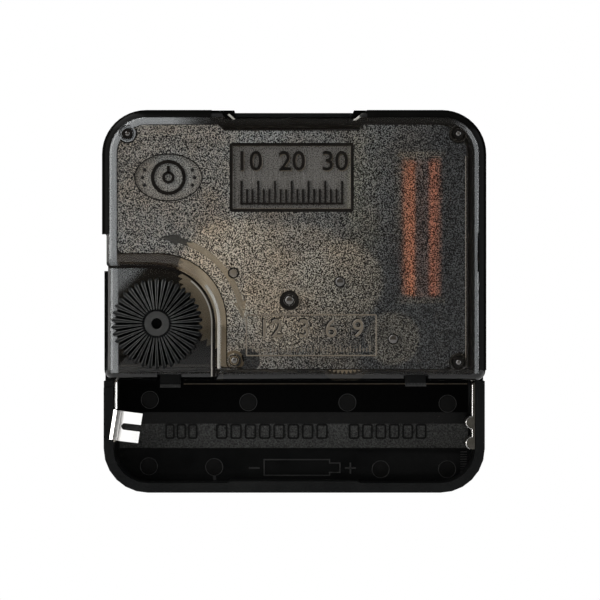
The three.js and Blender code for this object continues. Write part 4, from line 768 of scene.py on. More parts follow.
# Also painted highlights: the lit edges of the panel and the label, and the lit copy of the label's
# numbers.
FROST_TRIM = Finish("smooth_smoked_trim", (0.1, 0.084, 0.062), (0.085, 0.07, 0.052), roughness=0.25,
                    specular=0.8, size=0.2, relief=0.003)
BRIGHT_TRIM = Finish("polished_dome", (0.034, 0.029, 0.023), (0.026, 0.022, 0.018), roughness=0.14,
                     specular=1.0, relief=0.002)
PALE_TRIM = Finish("lit_edge", (0.36, 0.35, 0.32), (0.28, 0.27, 0.24), roughness=0.2, specular=0.8,
                   relief=0.002)
BROWN_TRIM = Finish("brown_edge", (0.05, 0.036, 0.02), (0.03, 0.022, 0.012), roughness=0.35, size=0.2,
                    relief=0.01, drift=0.6)


@dataclass
class Surface:
    """Wiring of one material with the place on its piece, in metres and in millimetres."""

    w: Wiring
    effects: Effects

    def __post_init__(self) -> None:
        """Finds the place, across and up."""
        self.place = self.w.add("ShaderNodeTexCoord").outputs["Object"]
        parts = self.w.add("ShaderNodeSeparateXYZ", {0: self.place}).outputs
        self.across, self.up = self.w.share(parts[0], MM), self.w.share(parts[2], MM)

    def leaning(self, lean: float) -> Socket:
        """Distance across, less a share of the height."""
        return self.w.less(self.across, self.w.times(self.up, lean))

    def boxed(self, low: Spot, high: Spot, rounding: float) -> bpy.types.Node:
        """Places the rounded box effect between two corners."""
        (x0, z0), (x1, z1) = low, high
        return self.w.place(self.effects.box, self.place, Across=(x0 + x1) / 2, Up=(z0 + z1) / 2,
                            Reach=(x1 - x0) / 2, Rise=(z1 - z0) / 2, Round=rounding)

    def squared(self, middle: Spot, reach: float, rounding: float) -> Socket:
        """Mask of a rounded square about a spot, which is a disc when its rounding is its reach."""
        (x, z), r = middle, reach
        return self.boxed((x - r, z - r), (x + r, z + r), rounding).outputs["Mask"]

    def band(self, depths: Spot, blur: float = 0.02) -> Socket:
        """Mask of what lies between two depths."""
        wires = {"From": depths[0], "To": depths[1], "Blur": blur}
        return self.w.place(self.effects.band, self.place, **wires).outputs["Mask"]


@dataclass(frozen=True)
class SmokedCover:
    """Smoked clear plastic: frosted on its panel and polished round it, with painted shade on its edge, its
    right side and its well, and painted highlights on its pale bands and over the coil.

    A pair of numbers is a range: the places between which a mask comes in, or the values that it
    leads from and to.
    """

    name: str = "smoked_cover_plastic"
    warm: Colour = (0.158, 0.133, 0.104)
    cool: Colour = (0.15, 0.156, 0.151)
    # Painted shade: the frosted panel turns to this colour towards its right and bottom.
    shade: Colour = (0.017, 0.018, 0.0182)
    label: Colour = (0.21, 0.197, 0.178)
    brown: Colour = (0.1, 0.078, 0.055)
    clear: Colour = (0.05, 0.044, 0.036)
    # Painted shade: colour of the cover's rounded edge, its lower lip and the shaded spot.
    edge: Colour = (0.004, 0.0042, 0.004)
    # Painted highlight: colour of the pale bands on the edge, the left stud's island and the well's lit
    # nook.
    painted_highlight: Colour = (0.5, 0.52, 0.53)
    # Painted shade on the lower right of the knob's well floor.
    well_floor_shade: Colour = (0.012, 0.011, 0.009)
    # Painted highlights: the coil's two copper glints, painted on the cover as warm strips with a darker
    # gap between them.
    coil_glints: tuple[tuple[float, float, Colour], ...] = ((16.35, 18.35, (0.05, 0.036, 0.026)),
                                                      (20.25, 22.05, (0.085, 0.043, 0.029)))
    glint_rise: Spot = (0.5, 20.8)
    glint_fade: Spot = (-0.25, 0.45)
    outline: tuple[Spot, Spot, float] = ((-27.3, -60.0), (28.7, 27.75), 6.5)
    panel: tuple[Spot, Spot, float] = ((-25.0, -10.0), (25.8, 25.55), 4.4)
    panel_depths: Spot = (15.3, 15.95)
    sunk_depths: Spot = (15.3, 15.7)
    well: tuple[Spot, float, float] = ((-39.28, -23.38), 30.15, 10.0)
    floor_depths: Spot = (11.8, 12.1)
    wall_depths: Spot = (14.3, 16.5)
    wall_fade: Spot = (-11.0, -14.0)
    floor_lean: float = 0.314
    floor_fade: Spot = (-0.6, 0.3)
    nook_fade: Spot = (-27.2, -25.2)
    nook_rise: Spot = (0.6, 1.6)
    knob: Spot = (-19.28, -3.38)
    arrow_radius: float = 12.55
    arrow_sizes: Spot = (0.95, 1.9)
    arrow_turn: Spot = (1.8, 88.0)
    left_stud: Spot = (-23.5, 24.2)
    right_studs: tuple[Spot, ...] = ((24.55, 24.2), (24.55, -9.0))
    stud_island: float = 1.22
    # Painted shade: a dark spot on the panel to the right of the plate stud.
    shaded_spot: Spot = (-6.0, -8.7)
    shaded_reach: float = 1.75
    lip_up: Spot = (-10.75, -10.6)
    lip_across: Spot = (-27.0, -26.4)
    edge_fade: Spot = (1.08, 1.2)
    left_fade: Spot = (2.35, 2.2)
    left_across: Spot = (-11.0, -17.0)
    right_fade: Spot = (1.86, 1.78)
    right_start: Spot = (1.14, 1.24)
    right_lean: float = 0.3
    right_across: Spot = (15.5, 18.5)
    top_across: Spot = (-9.0, -5.0)
    top_up: Spot = (24.5, 25.5)
    label_across: Spot = (-11.0, -10.5)
    tone_size: float = 6.0
    grain_size: float = 0.16
    streak_pitch: float = 0.15
    fall_lean: float = 0.35
    fall_across: Spot = (-12.0, 14.0)
    glint_fall: float = 0.45
    contrast_start: float = 0.35
    contrast: Spot = (2.1, 4.5)
    contrast_gain: Spot = (4.85, 7.4)
    streak_gain: Spot = (0.7, 1.3)
    oval_gain: Spot = (1.7, 4.4)
    full_gain: float = 5.4
    middling: Spot = (0.25, 0.75)
    sparkle: Spot = (0.25, 0.55)
    polish: Spot = (0.06, 0.09)
    nook_light: float = 0.75
    right_light: float = 0.9
    low_floor: float = 0.92
    floor_cover: float = 0.72
    wall_cover: float = 0.75
    lit_cover: float = 0.95
    bare_cover: Spot = (0.3, 0.7)
    shadow_cover: float = 0.45
    grain_depth: float = 0.07
    bending: float = 1.4
    clearness: float = 0.72

    def material(self, effects: Effects) -> bpy.types.Material:
        """Builds the cover's material.

        Args:
            effects: The shared effects.

        Returns:
            The material.
        """
        material, w, shader = blank_material(self.name)
        surface = Surface(w, effects)
        masks = self.masks(surface)
        masks["lit"] = self.lit(surface, masks)
        grain = w.place(effects.grain, surface.place, Size=self.grain_size).outputs
        streaks = w.place(effects.marks, surface.place, Pitch=self.streak_pitch, Straight=1.0).outputs[0]
        height = w.times(w.between(masks["sunk"], grain["Height"], streaks), masks["frost"])
        bump = w.add("ShaderNodeBump", {"Height": height, "Distance": self.grain_depth * MM})
        top_right = w.times(w.ranged(surface.across, *self.top_across), w.ranged(surface.up, *self.top_up))
        sparkle = w.ranged(grain["Fleck"], *self.middling, *self.sparkle)
        polish = w.between(w.most(masks["solid"], top_right), *self.polish)
        w.feed(shader, {"Base Color": self.colour(surface, masks, grain["Fleck"], streaks),
                        "Alpha": self.cover(surface, masks), "Normal": bump.outputs[0],
                        "Roughness": w.between(masks["frost"], polish, sparkle),
                        "Specular IOR Level": 0.5, "IOR": self.bending,
                        "Transmission Weight": self.clearness})
        return material

    def masks(self, surface: Surface) -> dict[str, Socket]:
        """Finds the cover's regions.

        Args:
            surface: Wiring of the material.

        Returns:
            For each region's name its mask, and the distance from the outline as gap.
        """
        w, up, across = surface.w, surface.up, surface.across
        panel = surface.boxed(*self.panel).outputs["Mask"]
        in_well = surface.squared(*self.well)
        arrow = w.place(surface.effects.arrow, surface.place, Across=self.knob[0], Up=self.knob[1],
                        Radius=self.arrow_radius, Width=self.arrow_sizes[0], Head=self.arrow_sizes[1],
                        Start=self.arrow_turn[0], End=self.arrow_turn[1]).outputs["Mask"]
        frost = w.times(panel, surface.band(self.panel_depths), w.less(1.0, in_well))
        smooth = w.times(arrow, frost)
        islands = [surface.squared(stud, self.stud_island, self.stud_island)
                   for stud in (self.left_stud, *self.right_studs)]
        polished = w.most(smooth, *islands)
        gap = surface.boxed(*self.outline).outputs["Gap"]
        lip = w.times(w.ranged(up, *self.lip_up, 1.0, 0.0), w.ranged(across, *self.lip_across))
        sunk = w.times(surface.band(self.sunk_depths), panel)
        wall = w.times(surface.band(self.wall_depths, 0.2), in_well, w.ranged(across, *self.wall_fade))
        return {"frost": w.times(frost, w.less(1.0, polished)), "smooth": smooth, "gap": gap,
                "pale island": islands[0], "dark island": w.most(*islands[1:]),
                "shaded": surface.squared(self.shaded_spot, self.shaded_reach, self.shaded_reach),
                # solid: painted shade on the rounded edge and the lower lip, which turn opaque near-black.
                "solid": w.most(w.less(1.0, w.ranged(gap, *self.edge_fade)), lip), "wall": wall,
                "floor": w.times(surface.band(self.floor_depths), in_well), "sunk": sunk,
                "labelled": w.times(sunk, w.ranged(across, *self.label_across))}

    def lit(self, surface: Surface, masks: dict[str, Socket]) -> Socket:
        """Mask of the painted highlights: pale bands on the edge, the left stud's island and the lit nook
        of the knob's well.

        Args:
            surface: Wiring of the material.
            masks: Masks of the cover's regions.

        Returns:
            The mask.
        """
        w, gap = surface.w, masks["gap"]
        left = w.times(w.ranged(gap, *self.left_fade), w.ranged(surface.across, *self.left_across))
        nook = w.times(w.ranged(surface.leaning(1.0), *self.nook_fade, self.nook_light, 0.0),
                       w.ranged(surface.up, *self.nook_rise), masks["floor"])
        leaning = surface.leaning(self.right_lean)
        right = w.times(w.ranged(gap, *self.right_fade), w.ranged(gap, *self.right_start),
                        w.ranged(leaning, *self.right_across, 0.0, self.right_light))
        return w.times(w.most(left, masks["pale island"], nook, right), w.less(1.0, masks["solid"]))

    def colour(self, surface: Surface, masks: dict[str, Socket], fleck: Socket, streaks: Socket) -> Socket:
        """Colour of the plastic: flecked where it is frosted and even elsewhere, with painted shade and
        painted highlights over it.

        Args:
            surface: Wiring of the material.
            masks: Masks of the cover's regions.
            fleck: Light and dark of the grain.
            streaks: Light and dark of the label's lines.

        Returns:
            The colour.
        """
        w = surface.w
        slow = w.place(surface.effects.tone, surface.place, Size=self.tone_size, Main=rgba(self.warm),
                       Other=rgba(self.cool))
        # Painted shade: the panel darkens towards the right and the bottom, and its grain gains contrast
        # there.
        fall = w.ranged(surface.leaning(self.fall_lean), *self.fall_across)
        frosted = w.tinted(fall, slow.outputs["Colour"], rgba(self.shade))
        frosted = w.tinted(masks["labelled"], frosted, rgba(self.label))
        # Painted shade on the spot to the right of the plate stud.
        frosted = w.tinted(masks["shaded"], frosted, rgba(self.edge))
        # Painted highlights of the coil's two copper glints on the cover over it.
        for first, last, tint in self.coil_glints:
            coil = surface.boxed((first, self.glint_rise[0]), (last, self.glint_rise[1]), 0.5)
            over = w.ranged(coil.outputs["Gap"], *self.glint_fade)
            frosted = w.tinted(over, frosted, rgba(tint))
            fall = w.between(over, fall, self.glint_fall)
        start, middling = self.contrast_start, self.middling
        gain = w.maths("POWER", fleck, w.ranged(fall, start, 1.0, *self.contrast))
        gain = w.times(gain, w.ranged(fall, start, 1.0, *self.contrast_gain))
        gain = w.between(masks["labelled"], gain, w.ranged(streaks, *middling, *self.streak_gain))
        in_oval = w.less(masks["sunk"], masks["labelled"])
        gain = w.between(in_oval, gain, w.ranged(gain, 0.0, self.full_gain, *self.oval_gain))
        flecked = w.add("ShaderNodeVectorMath", {0: frosted, "Scale": gain}, operation="SCALE").outputs[0]
        even = w.tinted(masks["smooth"], rgba(self.clear), frosted)
        even = w.tinted(masks["wall"], even, rgba(self.brown))
        slant = w.less(surface.up, w.times(surface.across, self.floor_lean))
        # Painted shade: the well's floor darkens towards its lower right.
        low_floor = w.times(masks["floor"], w.ranged(slant, *self.floor_fade, self.low_floor, 0.0))
        even = w.tinted(low_floor, even, rgba(self.well_floor_shade))
        colour = w.tinted(masks["frost"], even, flecked)
        # Painted highlights on the pale bands.
        colour = w.tinted(masks["lit"], colour, rgba(self.painted_highlight))
        # Painted shade: the rounded edge and the lower lip are near-black.
        return w.tinted(masks["solid"], colour, rgba(self.edge))

    def cover(self, surface: Surface, masks: dict[str, Socket]) -> Socket:
        """How much the plastic covers what lies behind it, less for shadows and nothing from inside.

        Args:
            surface: Wiring of the material.
            masks: Masks of the cover's regions.

        Returns:
            The cover.
        """
        w = surface.w
        bare = w.most(w.times(masks["floor"], self.floor_cover), w.times(masks["wall"], self.wall_cover),
                      w.between(w.most(masks["smooth"], masks["dark island"]), *self.bare_cover))
        cover = w.most(w.between(masks["frost"], bare, 1.0), masks["solid"],
                       w.times(masks["lit"], self.lit_cover))
        shadow = w.add("ShaderNodeLightPath").outputs["Is Shadow Ray"]
        inside = w.add("ShaderNodeNewGeometry").outputs["Backfacing"]
        return w.times(cover, w.between(shadow, 1.0, self.shadow_cover), w.less(1.0, inside))


# Dressing pieces


def dress(piece: bpy.types.Object, material: bpy.types.Material, body: str) -> None:
    """Gives a new piece what it needs.

    Args:
        piece: The new object.
        material: Its material.
        body: Name of the body that it rides on.
    """
    piece.data.materials.clear()
    piece.data.materials.append(material)
    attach(piece, body)


def soft_edges() -> bpy.types.NodeTree:
    """Modifier group that joins equal points and shades smooth, but for edges bent by its Angle.

    Returns:
        The group.
    """
    tree = bpy.data.node_groups.new("soft_edges", "GeometryNodeTree")
    tree.interface.new_socket("Geometry", in_out="INPUT", socket_type="NodeSocketGeometry")
    angle = tree.interface.new_socket("Angle", in_out="INPUT", socket_type="NodeSocketFloat")
    angle.default_value = math.radians(32)
    tree.interface.new_socket("Geometry", in_out="OUTPUT", socket_type="NodeSocketGeometry")
    w = Wiring(tree)
    given = tree.nodes.new("NodeGroupInput").outputs
    bare = w.add("GeometryNodeRemoveAttribute", {"Geometry": given["Geometry"], "Name": "custom_normal"})
    merged = w.add("GeometryNodeMergeByDistance", {"Geometry": bare.outputs[0], "Distance": 1e-6})
    smooth = w.add("GeometryNodeSetShadeSmooth", {"Geometry": merged.outputs[0]}, domain="FACE")
    bent = w.add("GeometryNodeInputMeshEdgeAngle")
    sharp = w.add("FunctionNodeCompare", {0: bent.outputs[0], 1: given["Angle"]}, operation="GREATER_THAN")
    wires = {"Geometry": smooth.outputs[0], "Selection": sharp.outputs[0], "Shade Smooth": False}
    edges = w.add("GeometryNodeSetShadeSmooth", wires, domain="EDGE")
    tree.links.new(edges.outputs[0], tree.nodes.new("NodeGroupOutput").inputs[0])
    return tree


@dataclass
class Solids:
    """The solids that stay in view, each with its finish."""

    frame: dict
    effects: Effects
    finishes: dict[Finish, str] = field(default_factory=lambda: {
        BLACK_PLASTIC: "case", BEIGE_PLASTIC: "middle_plate minute_clutch_gear seconds_wheel idler_wheel",
        BRASS: "threaded_bush hex_nut minute_tube", RUBBER: "rubber_washer",
        KNOB_PLASTIC: "setting_knob setting_shaft driver_chip",
        WHITE_PLASTIC: "motion_wheel hour_wheel third_wheel crown_wheel rotor",
        STEEL: "seconds_pin stator coil_core", MAGNET: "rotor_magnet", BOBBIN_PLASTIC: "coil_bobbin",
        COPPER: "coil_inner_winding coil_outer_winding", LAMINATE: "circuit_board",
        SOLDER: "solder_joint_low solder_joint_high", SHADED_NICKEL: "positive_contact",
        NICKEL: "quartz_crystal negative_contact negative_leaf",
    })

    def build(self) -> None:
        """Dresses every solid and softens its shading."""
        group = soft_edges()
        nodes = self.frame["nodes"]
        for node in nodes.values():
            node.modifiers.new("soft_edges", "NODES").node_group = group
        for finish, names in self.finishes.items():
            for name in names.split():
                self.paint(nodes[name], finish.material(self.effects))
        self.paint(nodes["back_cover"], SmokedCover().material(self.effects))

    def paint(self, node: bpy.types.Object, material: bpy.types.Material) -> None:
        """Puts one material on all faces of a solid."""
        for slot in node.material_slots:
            slot.material = material


@dataclass
class SubAssembly:
    """What the pieces of a sub-assembly share: the effects and their body; the record's slot is named but
    not given to them.
    """

    effects: Effects
    home: ClassVar[str] = "case"
    record_slot: ClassVar[str] = ""

    def show(self, piece: Form | bpy.types.Object, name: str, finish: Finish, angle: float = 38.0,
             body: str = "") -> bpy.types.Object:
        """Builds a form as a piece, where it isn't one yet, and dresses it.

        Args:
            piece: The form, or an object.
            name: Name of the piece.
            finish: Its finish.
            angle: Edges of a form bent by more than this many degrees stay sharp.
            body: Name of the body that it rides on, where that isn't the sub-assembly's own.

        Returns:
            The piece.
        """
        if isinstance(piece, Form):
            piece = piece.build(name, angle)
        dress(piece, finish.material(self.effects), body or self.home)
        log.info("  %s", name)
        return piece


@dataclass
class Cover(SubAssembly):
    """Marks and small parts on the outside of the back cover."""

    record_slot: ClassVar[str] = "smoked_plastic"
    level: float = 15.88
    top: float = 16.0
    low: Spot = (-27.3, -11.85)
    high: Spot = (28.7, 27.75)
    corner: float = 6.5
    shoulder: float = 2.3
    shoulder_drop: float = 1.8
    edge_foot: float = 14.225
    edge_gaps: tuple[float, ...] = (0.05, 0.25, 0.5, 0.8, 1.12)
    edge_ends: Spot = (-10.15, 9.6)
    edge_stops: float = 11.3
    panel: tuple[float, float, float, float] = (-25.0, -10.0, 25.8, 25.55)
    knob: Spot = (-19.28, -3.38)
    well_reach: float = 10.2
    well_floor: float = 12.0
    well_foot: float = 8.27
    well_lit: float = 7.93
    well_glint: float = 9.05
    label_low: Spot = (-8.65, 12.85)
    label_high: Spot = (9.35, 22.85)
    label_floor: float = 15.53
    mark_rise: float = 0.24
    tick: float = 0.3
    label_ticks: int = 19
    label_margin: float = 1.7
    label_tick_rises: Spot = (3.2, 2.0)
    label_size: float = 4.0
    oval: Spot = (-17.56, 17.85)
    oval_reach: Spot = (4.9, 3.4)
    box_low: Spot = (-6.2, -8.0)
    box_high: Spot = (12.6, -2.1)
    box_ticks: int = 37
    box_margin: float = 0.9
    box_tick: float = 0.16
    box_tick_tops: Spot = (1.5, 1.1)
    box_size: float = 3.7
    studs: tuple[Spot, ...] = ((-23.5, 24.2), (24.55, 24.2), (24.55, -9.0))
    stud_foot: float = 15.68
    plate_stud: Spot = (-8.0, -8.7)
    pivots: tuple[Spot, ...] = ((7.34, 2.69), (15.06, -5.61))
    pivot_radius: float = 0.66
    third_pivot: Spot = (-8.1, 4.0)
    notch: tuple[tuple[tuple[Spot, ...], tuple[Spot, ...]], ...] = (
        (((-8.0, 27.62), (-11.5, 27.62), (-11.5, 26.3), (-7.6, 26.3)),
         ((-8.9, 26.95), (-8.7, 27.05), (-7.95, 26.35), (-8.15, 26.3))),
        (((11.5, 26.3), (11.5, 27.62), (9.4, 27.62), (8.8, 26.3)),
         ((9.2, 26.15), (9.75, 26.15), (11.2, 27.2), (10.65, 27.2))))

    def build(self) -> None:
        """Builds all marks."""
        self.panel_line()
        self.label()
        self.date_mark()
        self.number_box()
        self.bosses()
        self.stud_heads()
        self.well_lines()
        self.notch_facets()
        self.dark_edge()

    def dark_edge(self) -> None:
        """Band of painted shade along the cover's rounded edge, on both sides of the top notch, where the
        thick edge looks black.
        """
        (x0, _), (x1, z1) = self.low, self.high
        band, corner = Form(), self.corner
        right = [(x1, self.edge_ends[0]), *arc((x1 - corner, z1 - corner), corner, 0, 90, 12),
                 (self.edge_stops, z1)]
        left = [(-self.edge_stops, z1), *arc((x0 + corner, z1 - corner), corner, 90, 180, 12),
                (x0, self.edge_ends[1])]
        for run in (right, left):
            rings: list[Ring] = []
            for gap in self.edge_gaps:
                spots = drawn_in([*run, (0.0, 0.0)], gap)[:-1]
                spots[0], spots[-1] = self.squared(run, gap)
                rise = self.shoulder_drop * math.sqrt(1 - ((self.shoulder - gap) / self.shoulder) ** 2)
                rings.append([at(x, z, self.edge_foot + rise) for x, z in spots])
            band.loft([list(ring) for ring in zip(*rings)], ends=False)
        self.show(band, "dark_edge", EDGE_PLASTIC)

    def squared(self, run: Sequence[Spot], gap: float) -> tuple[Spot, Spot]:
        """Ends of a run along the outline, moved inwards square to its sides.

        Args:
            run: Spots from one end to the other.
            gap: How far they move.

        Returns:
            The first and the last spot.
        """
        (xa, za), (xb, zb) = run[0], run[-1]
        if xa > 0:
            return (xa - gap, za), (xb, zb - gap)
        return (xa, za - gap), (xb + gap, zb)

    def well_lines(self) -> None:
        """Painted shade at the dark foot of the well's wall, with painted highlights on the lit edge before
        it and along the wall's glint.
        """
        x, z = self.knob
        foot, lit, glint, floor = self.well_foot, self.well_lit, self.well_glint, self.well_floor
        dark = [(x + foot, -11.2), *arc((x, z), foot, 0, 90, 28), (-26.4, z + foot)]
        self.show(Form().trail(dark, 0.34, floor, floor + 0.14), "well_foot", SMOKED_TRIM)
        pale = [(x + lit, -11.1), *arc((x, z), lit, 0, 52, 20)]
        self.show(Form().trail(pale, 0.2, floor, floor + 0.1), "well_lit_edge", PALE_TRIM)
        wall = [(x + glint, -9.9), *arc((x, z), glint, 0, 38, 16)]
        self.show(Form().trail(wall, 0.42, 15.1, 15.46, edge=0.12), "well_glint", PALE_TRIM)

    def notch_facets(self) -> None:
        """Dark slanting ends of the top notch with painted highlights on their facets."""
        ends, facets = Form(), Form()
        for end, facet in self.notch:
            ends.plate(end, 6.0, 14.9)
            facets.plate(facet, 14.8, 15.1)
        self.show(ends, "notch_ends", EDGE_PLASTIC)
        self.show(facets, "notch_facets", PALE_TRIM)

    def panel_line(self) -> None:
        """Line of painted shade round the frosted panel, round the knob's well and past the top notch, and
        a painted highlight along the panel's right edge.
        """
        x0, z0, x1, z1 = self.panel
        foot, dip, reach = self.level - 0.02, z1 - 0.85, self.well_reach
        kx, kz = self.knob[0] + reach, self.knob[1] + reach
        path = cornered([(kx, z0, 1.0), (x1, z0, 1.0), (x1, z1, 4.4), (10.85, z1, 0.0), (10.0, dip, 0.0),
                         (-9.4, dip, 0.0), (-10.25, z1, 0.0), (x0, z1, 4.4), (x0, kz, 1.0),
                         (kx, kz, reach - 0.3)], 10)
        self.show(Form().trail(path, 0.16, foot, self.level + 0.05, looped=True), "panel_line", SMOKED_TRIM)
        edge = [(x1 - 0.2, z0 + 1.6), (x1 - 0.2, z1 - 4.6)]
        self.show(Form().trail(edge, 0.1, foot, self.level + 0.04), "panel_lit_edge", FROST_TRIM)

    def label(self) -> None:
        """Sunk plate with a dark sloping frame and a painted highlight along its inside, plain numbers with
        a pale shifted copy behind them as a painted highlight, and a scale of ticks under them.
        """
        (x0, z0), (x1, z1) = self.label_low, self.label_high
        low, high = self.label_floor, self.label_floor + self.mark_rise
        for name, gap, rounding, width, rise, finish in (
                ("label_frame", 0.2, 0.2, 0.46, 0.02, SMOKED_TRIM),
                ("label_lit_edge", 0.47, 0.1, 0.09, -0.12, FROST_TRIM)):
            outline = box((x0 + gap, z0 + gap), (x1 - gap, z1 - gap), rounding)
            self.show(Form().trail(outline, width, low, self.level + rise, looped=True), name, finish)
        ticks = Form()
        for i in range(self.label_ticks):
            x = x0 + self.label_margin + (x1 - x0 - 2 * self.label_margin) * i / (self.label_ticks - 1)
            tall = self.label_tick_rises[0 if i % 3 == 0 else 1]
            ticks.trail([(x, z0 + 1.3), (x, z0 + 1.3 + tall)], self.tick, low, high)
        ticks.trail([(x0 + 1.5, z0 + 1.2), (x1 - 1.5, z0 + 1.2)], self.tick, low, high + 0.01)
        self.show(ticks, "label_scale", SMOKED_TRIM)
        for name, shift, finish in (("label_numbers_lit", 0.13, FROST_TRIM),
                                    ("label_numbers", 0.0, SMOKED_TRIM)):
            middle = ((x0 + x1) / 2 + shift, z1 - 2.75 - shift)
            numbers = lettered(name, "10  20  30", middle, self.label_size, low, high + 0.08 - shift)
            self.show(numbers, name, finish)

    def date_mark(self) -> None:
        """Oval with a plain moulder's dial: two rings, a pointer and three dots on each side."""
        (x, z), low, high = self.oval, self.label_floor, self.label_floor + self.mark_rise
        edge = Form().trail(ellipse(self.oval, self.oval_reach), 0.16, low, self.level + 0.06, looped=True)
        self.show(edge, "oval_edge", SMOKED_TRIM)
        dial = Form().trail(circle((x, z), 2.3, 40), 0.5, low, high, looped=True)
        dial.trail(circle((x, z), 0.7, 24), 0.4, low, high, looped=True)
        dial.trail([(x, z + 0.6), (x, z + 1.7)], 0.42, low, high)
        for side in (-1, 1):
            for rise in (-1.1, 0.0, 1.1):
                dial.dome((x + side * (3.75 - 0.25 * abs(rise)), z + rise), 0.26, low, high - 0.04, 14)
        self.show(dial, "date_dial", SMOKED_TRIM)

    def number_box(self) -> None:
        """Plain framed box with hour numbers, a dark shifted copy behind them as a painted shadow, and a
        row of ticks.
        """
        low, high = self.level - 0.02, self.level + 0.1
        frame = Form().trail(box(self.box_low, self.box_high, 0.15), 0.2, low, high, looped=True)
        (x0, z0), (x1, z1) = self.box_low, self.box_high
        for i in range(self.box_ticks):
            x = x0 + self.box_margin + (x1 - x0 - 2 * self.box_margin) * i / (self.box_ticks - 1)
            top = z0 + self.box_tick_tops[0 if i % 3 == 0 else 1]
            frame.trail([(x, z0 + 0.55), (x, top)], self.box_tick, low, high)
        self.show(frame, "number_frame", FROST_TRIM)
        for name, shift, finish in (("box_numbers_shade", 0.18, SMOKED_TRIM),
                                    ("box_numbers", 0.0, FROST_TRIM)):
            middle = ((x0 + x1) / 2 - shift, z1 - 2.1 + shift)
            numbers = lettered(name, "12  3  6  9", middle, self.box_size, low, high - 0.2 * shift)
            self.show(numbers, name, finish)

    def bosses(self) -> None:
        """Dark rings and bright domes over the pivots."""
        foot, level, top = self.level - 0.02, self.level, self.top
        profile = [(1.42, level - 0.05), (1.42, top - 0.02), (1.3, top), (0.85, top - 0.06),
                   (0.78, level - 0.1)]
        self.show(Form().turned((0, 0), profile), "centre_ring", SMOKED_TRIM)
        domes, rings = Form().dome((0, 0), self.pivot_radius, level - 0.1, top), Form()
        for spot in self.pivots:
            domes.dome(spot, self.pivot_radius, level - 0.05, top)
            rings.trail(circle(spot, 0.74, 32), 0.16, foot, level + 0.05, looped=True)
        rings.trail(circle(self.third_pivot, 0.72, 32), 0.2, foot, level + 0.08, looped=True)
        pale = Form().dome(self.third_pivot, 0.6, level - 0.03, level + 0.06)
        self.show(pale, "third_pivot_head", FROST_TRIM)
        self.show(domes, "pivot_domes", BRIGHT_TRIM)
        self.show(rings, "pivot_rings", SMOKED_TRIM)

    def stud_heads(self) -> None:
        """Flattened heads of the studs that carry the cover."""
        heads, rims, foot = Form(), Form(), self.stud_foot
        for spot in self.studs:
            heads.dome(spot, 0.5, 15.6, 15.97)
            rims.trail(circle(spot, 0.62, 36), 0.24, foot, 15.94, looped=True)
            rims.trail(circle(spot, 1.22, 40), 0.09, foot, 15.94, looped=True)
        rims.trail(circle(self.plate_stud, 0.72, 32), 0.14, foot, 15.98, looped=True)
        heads.dome(self.plate_stud, 0.6, 15.55, 15.98)
        self.show(heads, "stud_heads", BRIGHT_TRIM)
        self.show(rims, "stud_rims", SMOKED_TRIM)


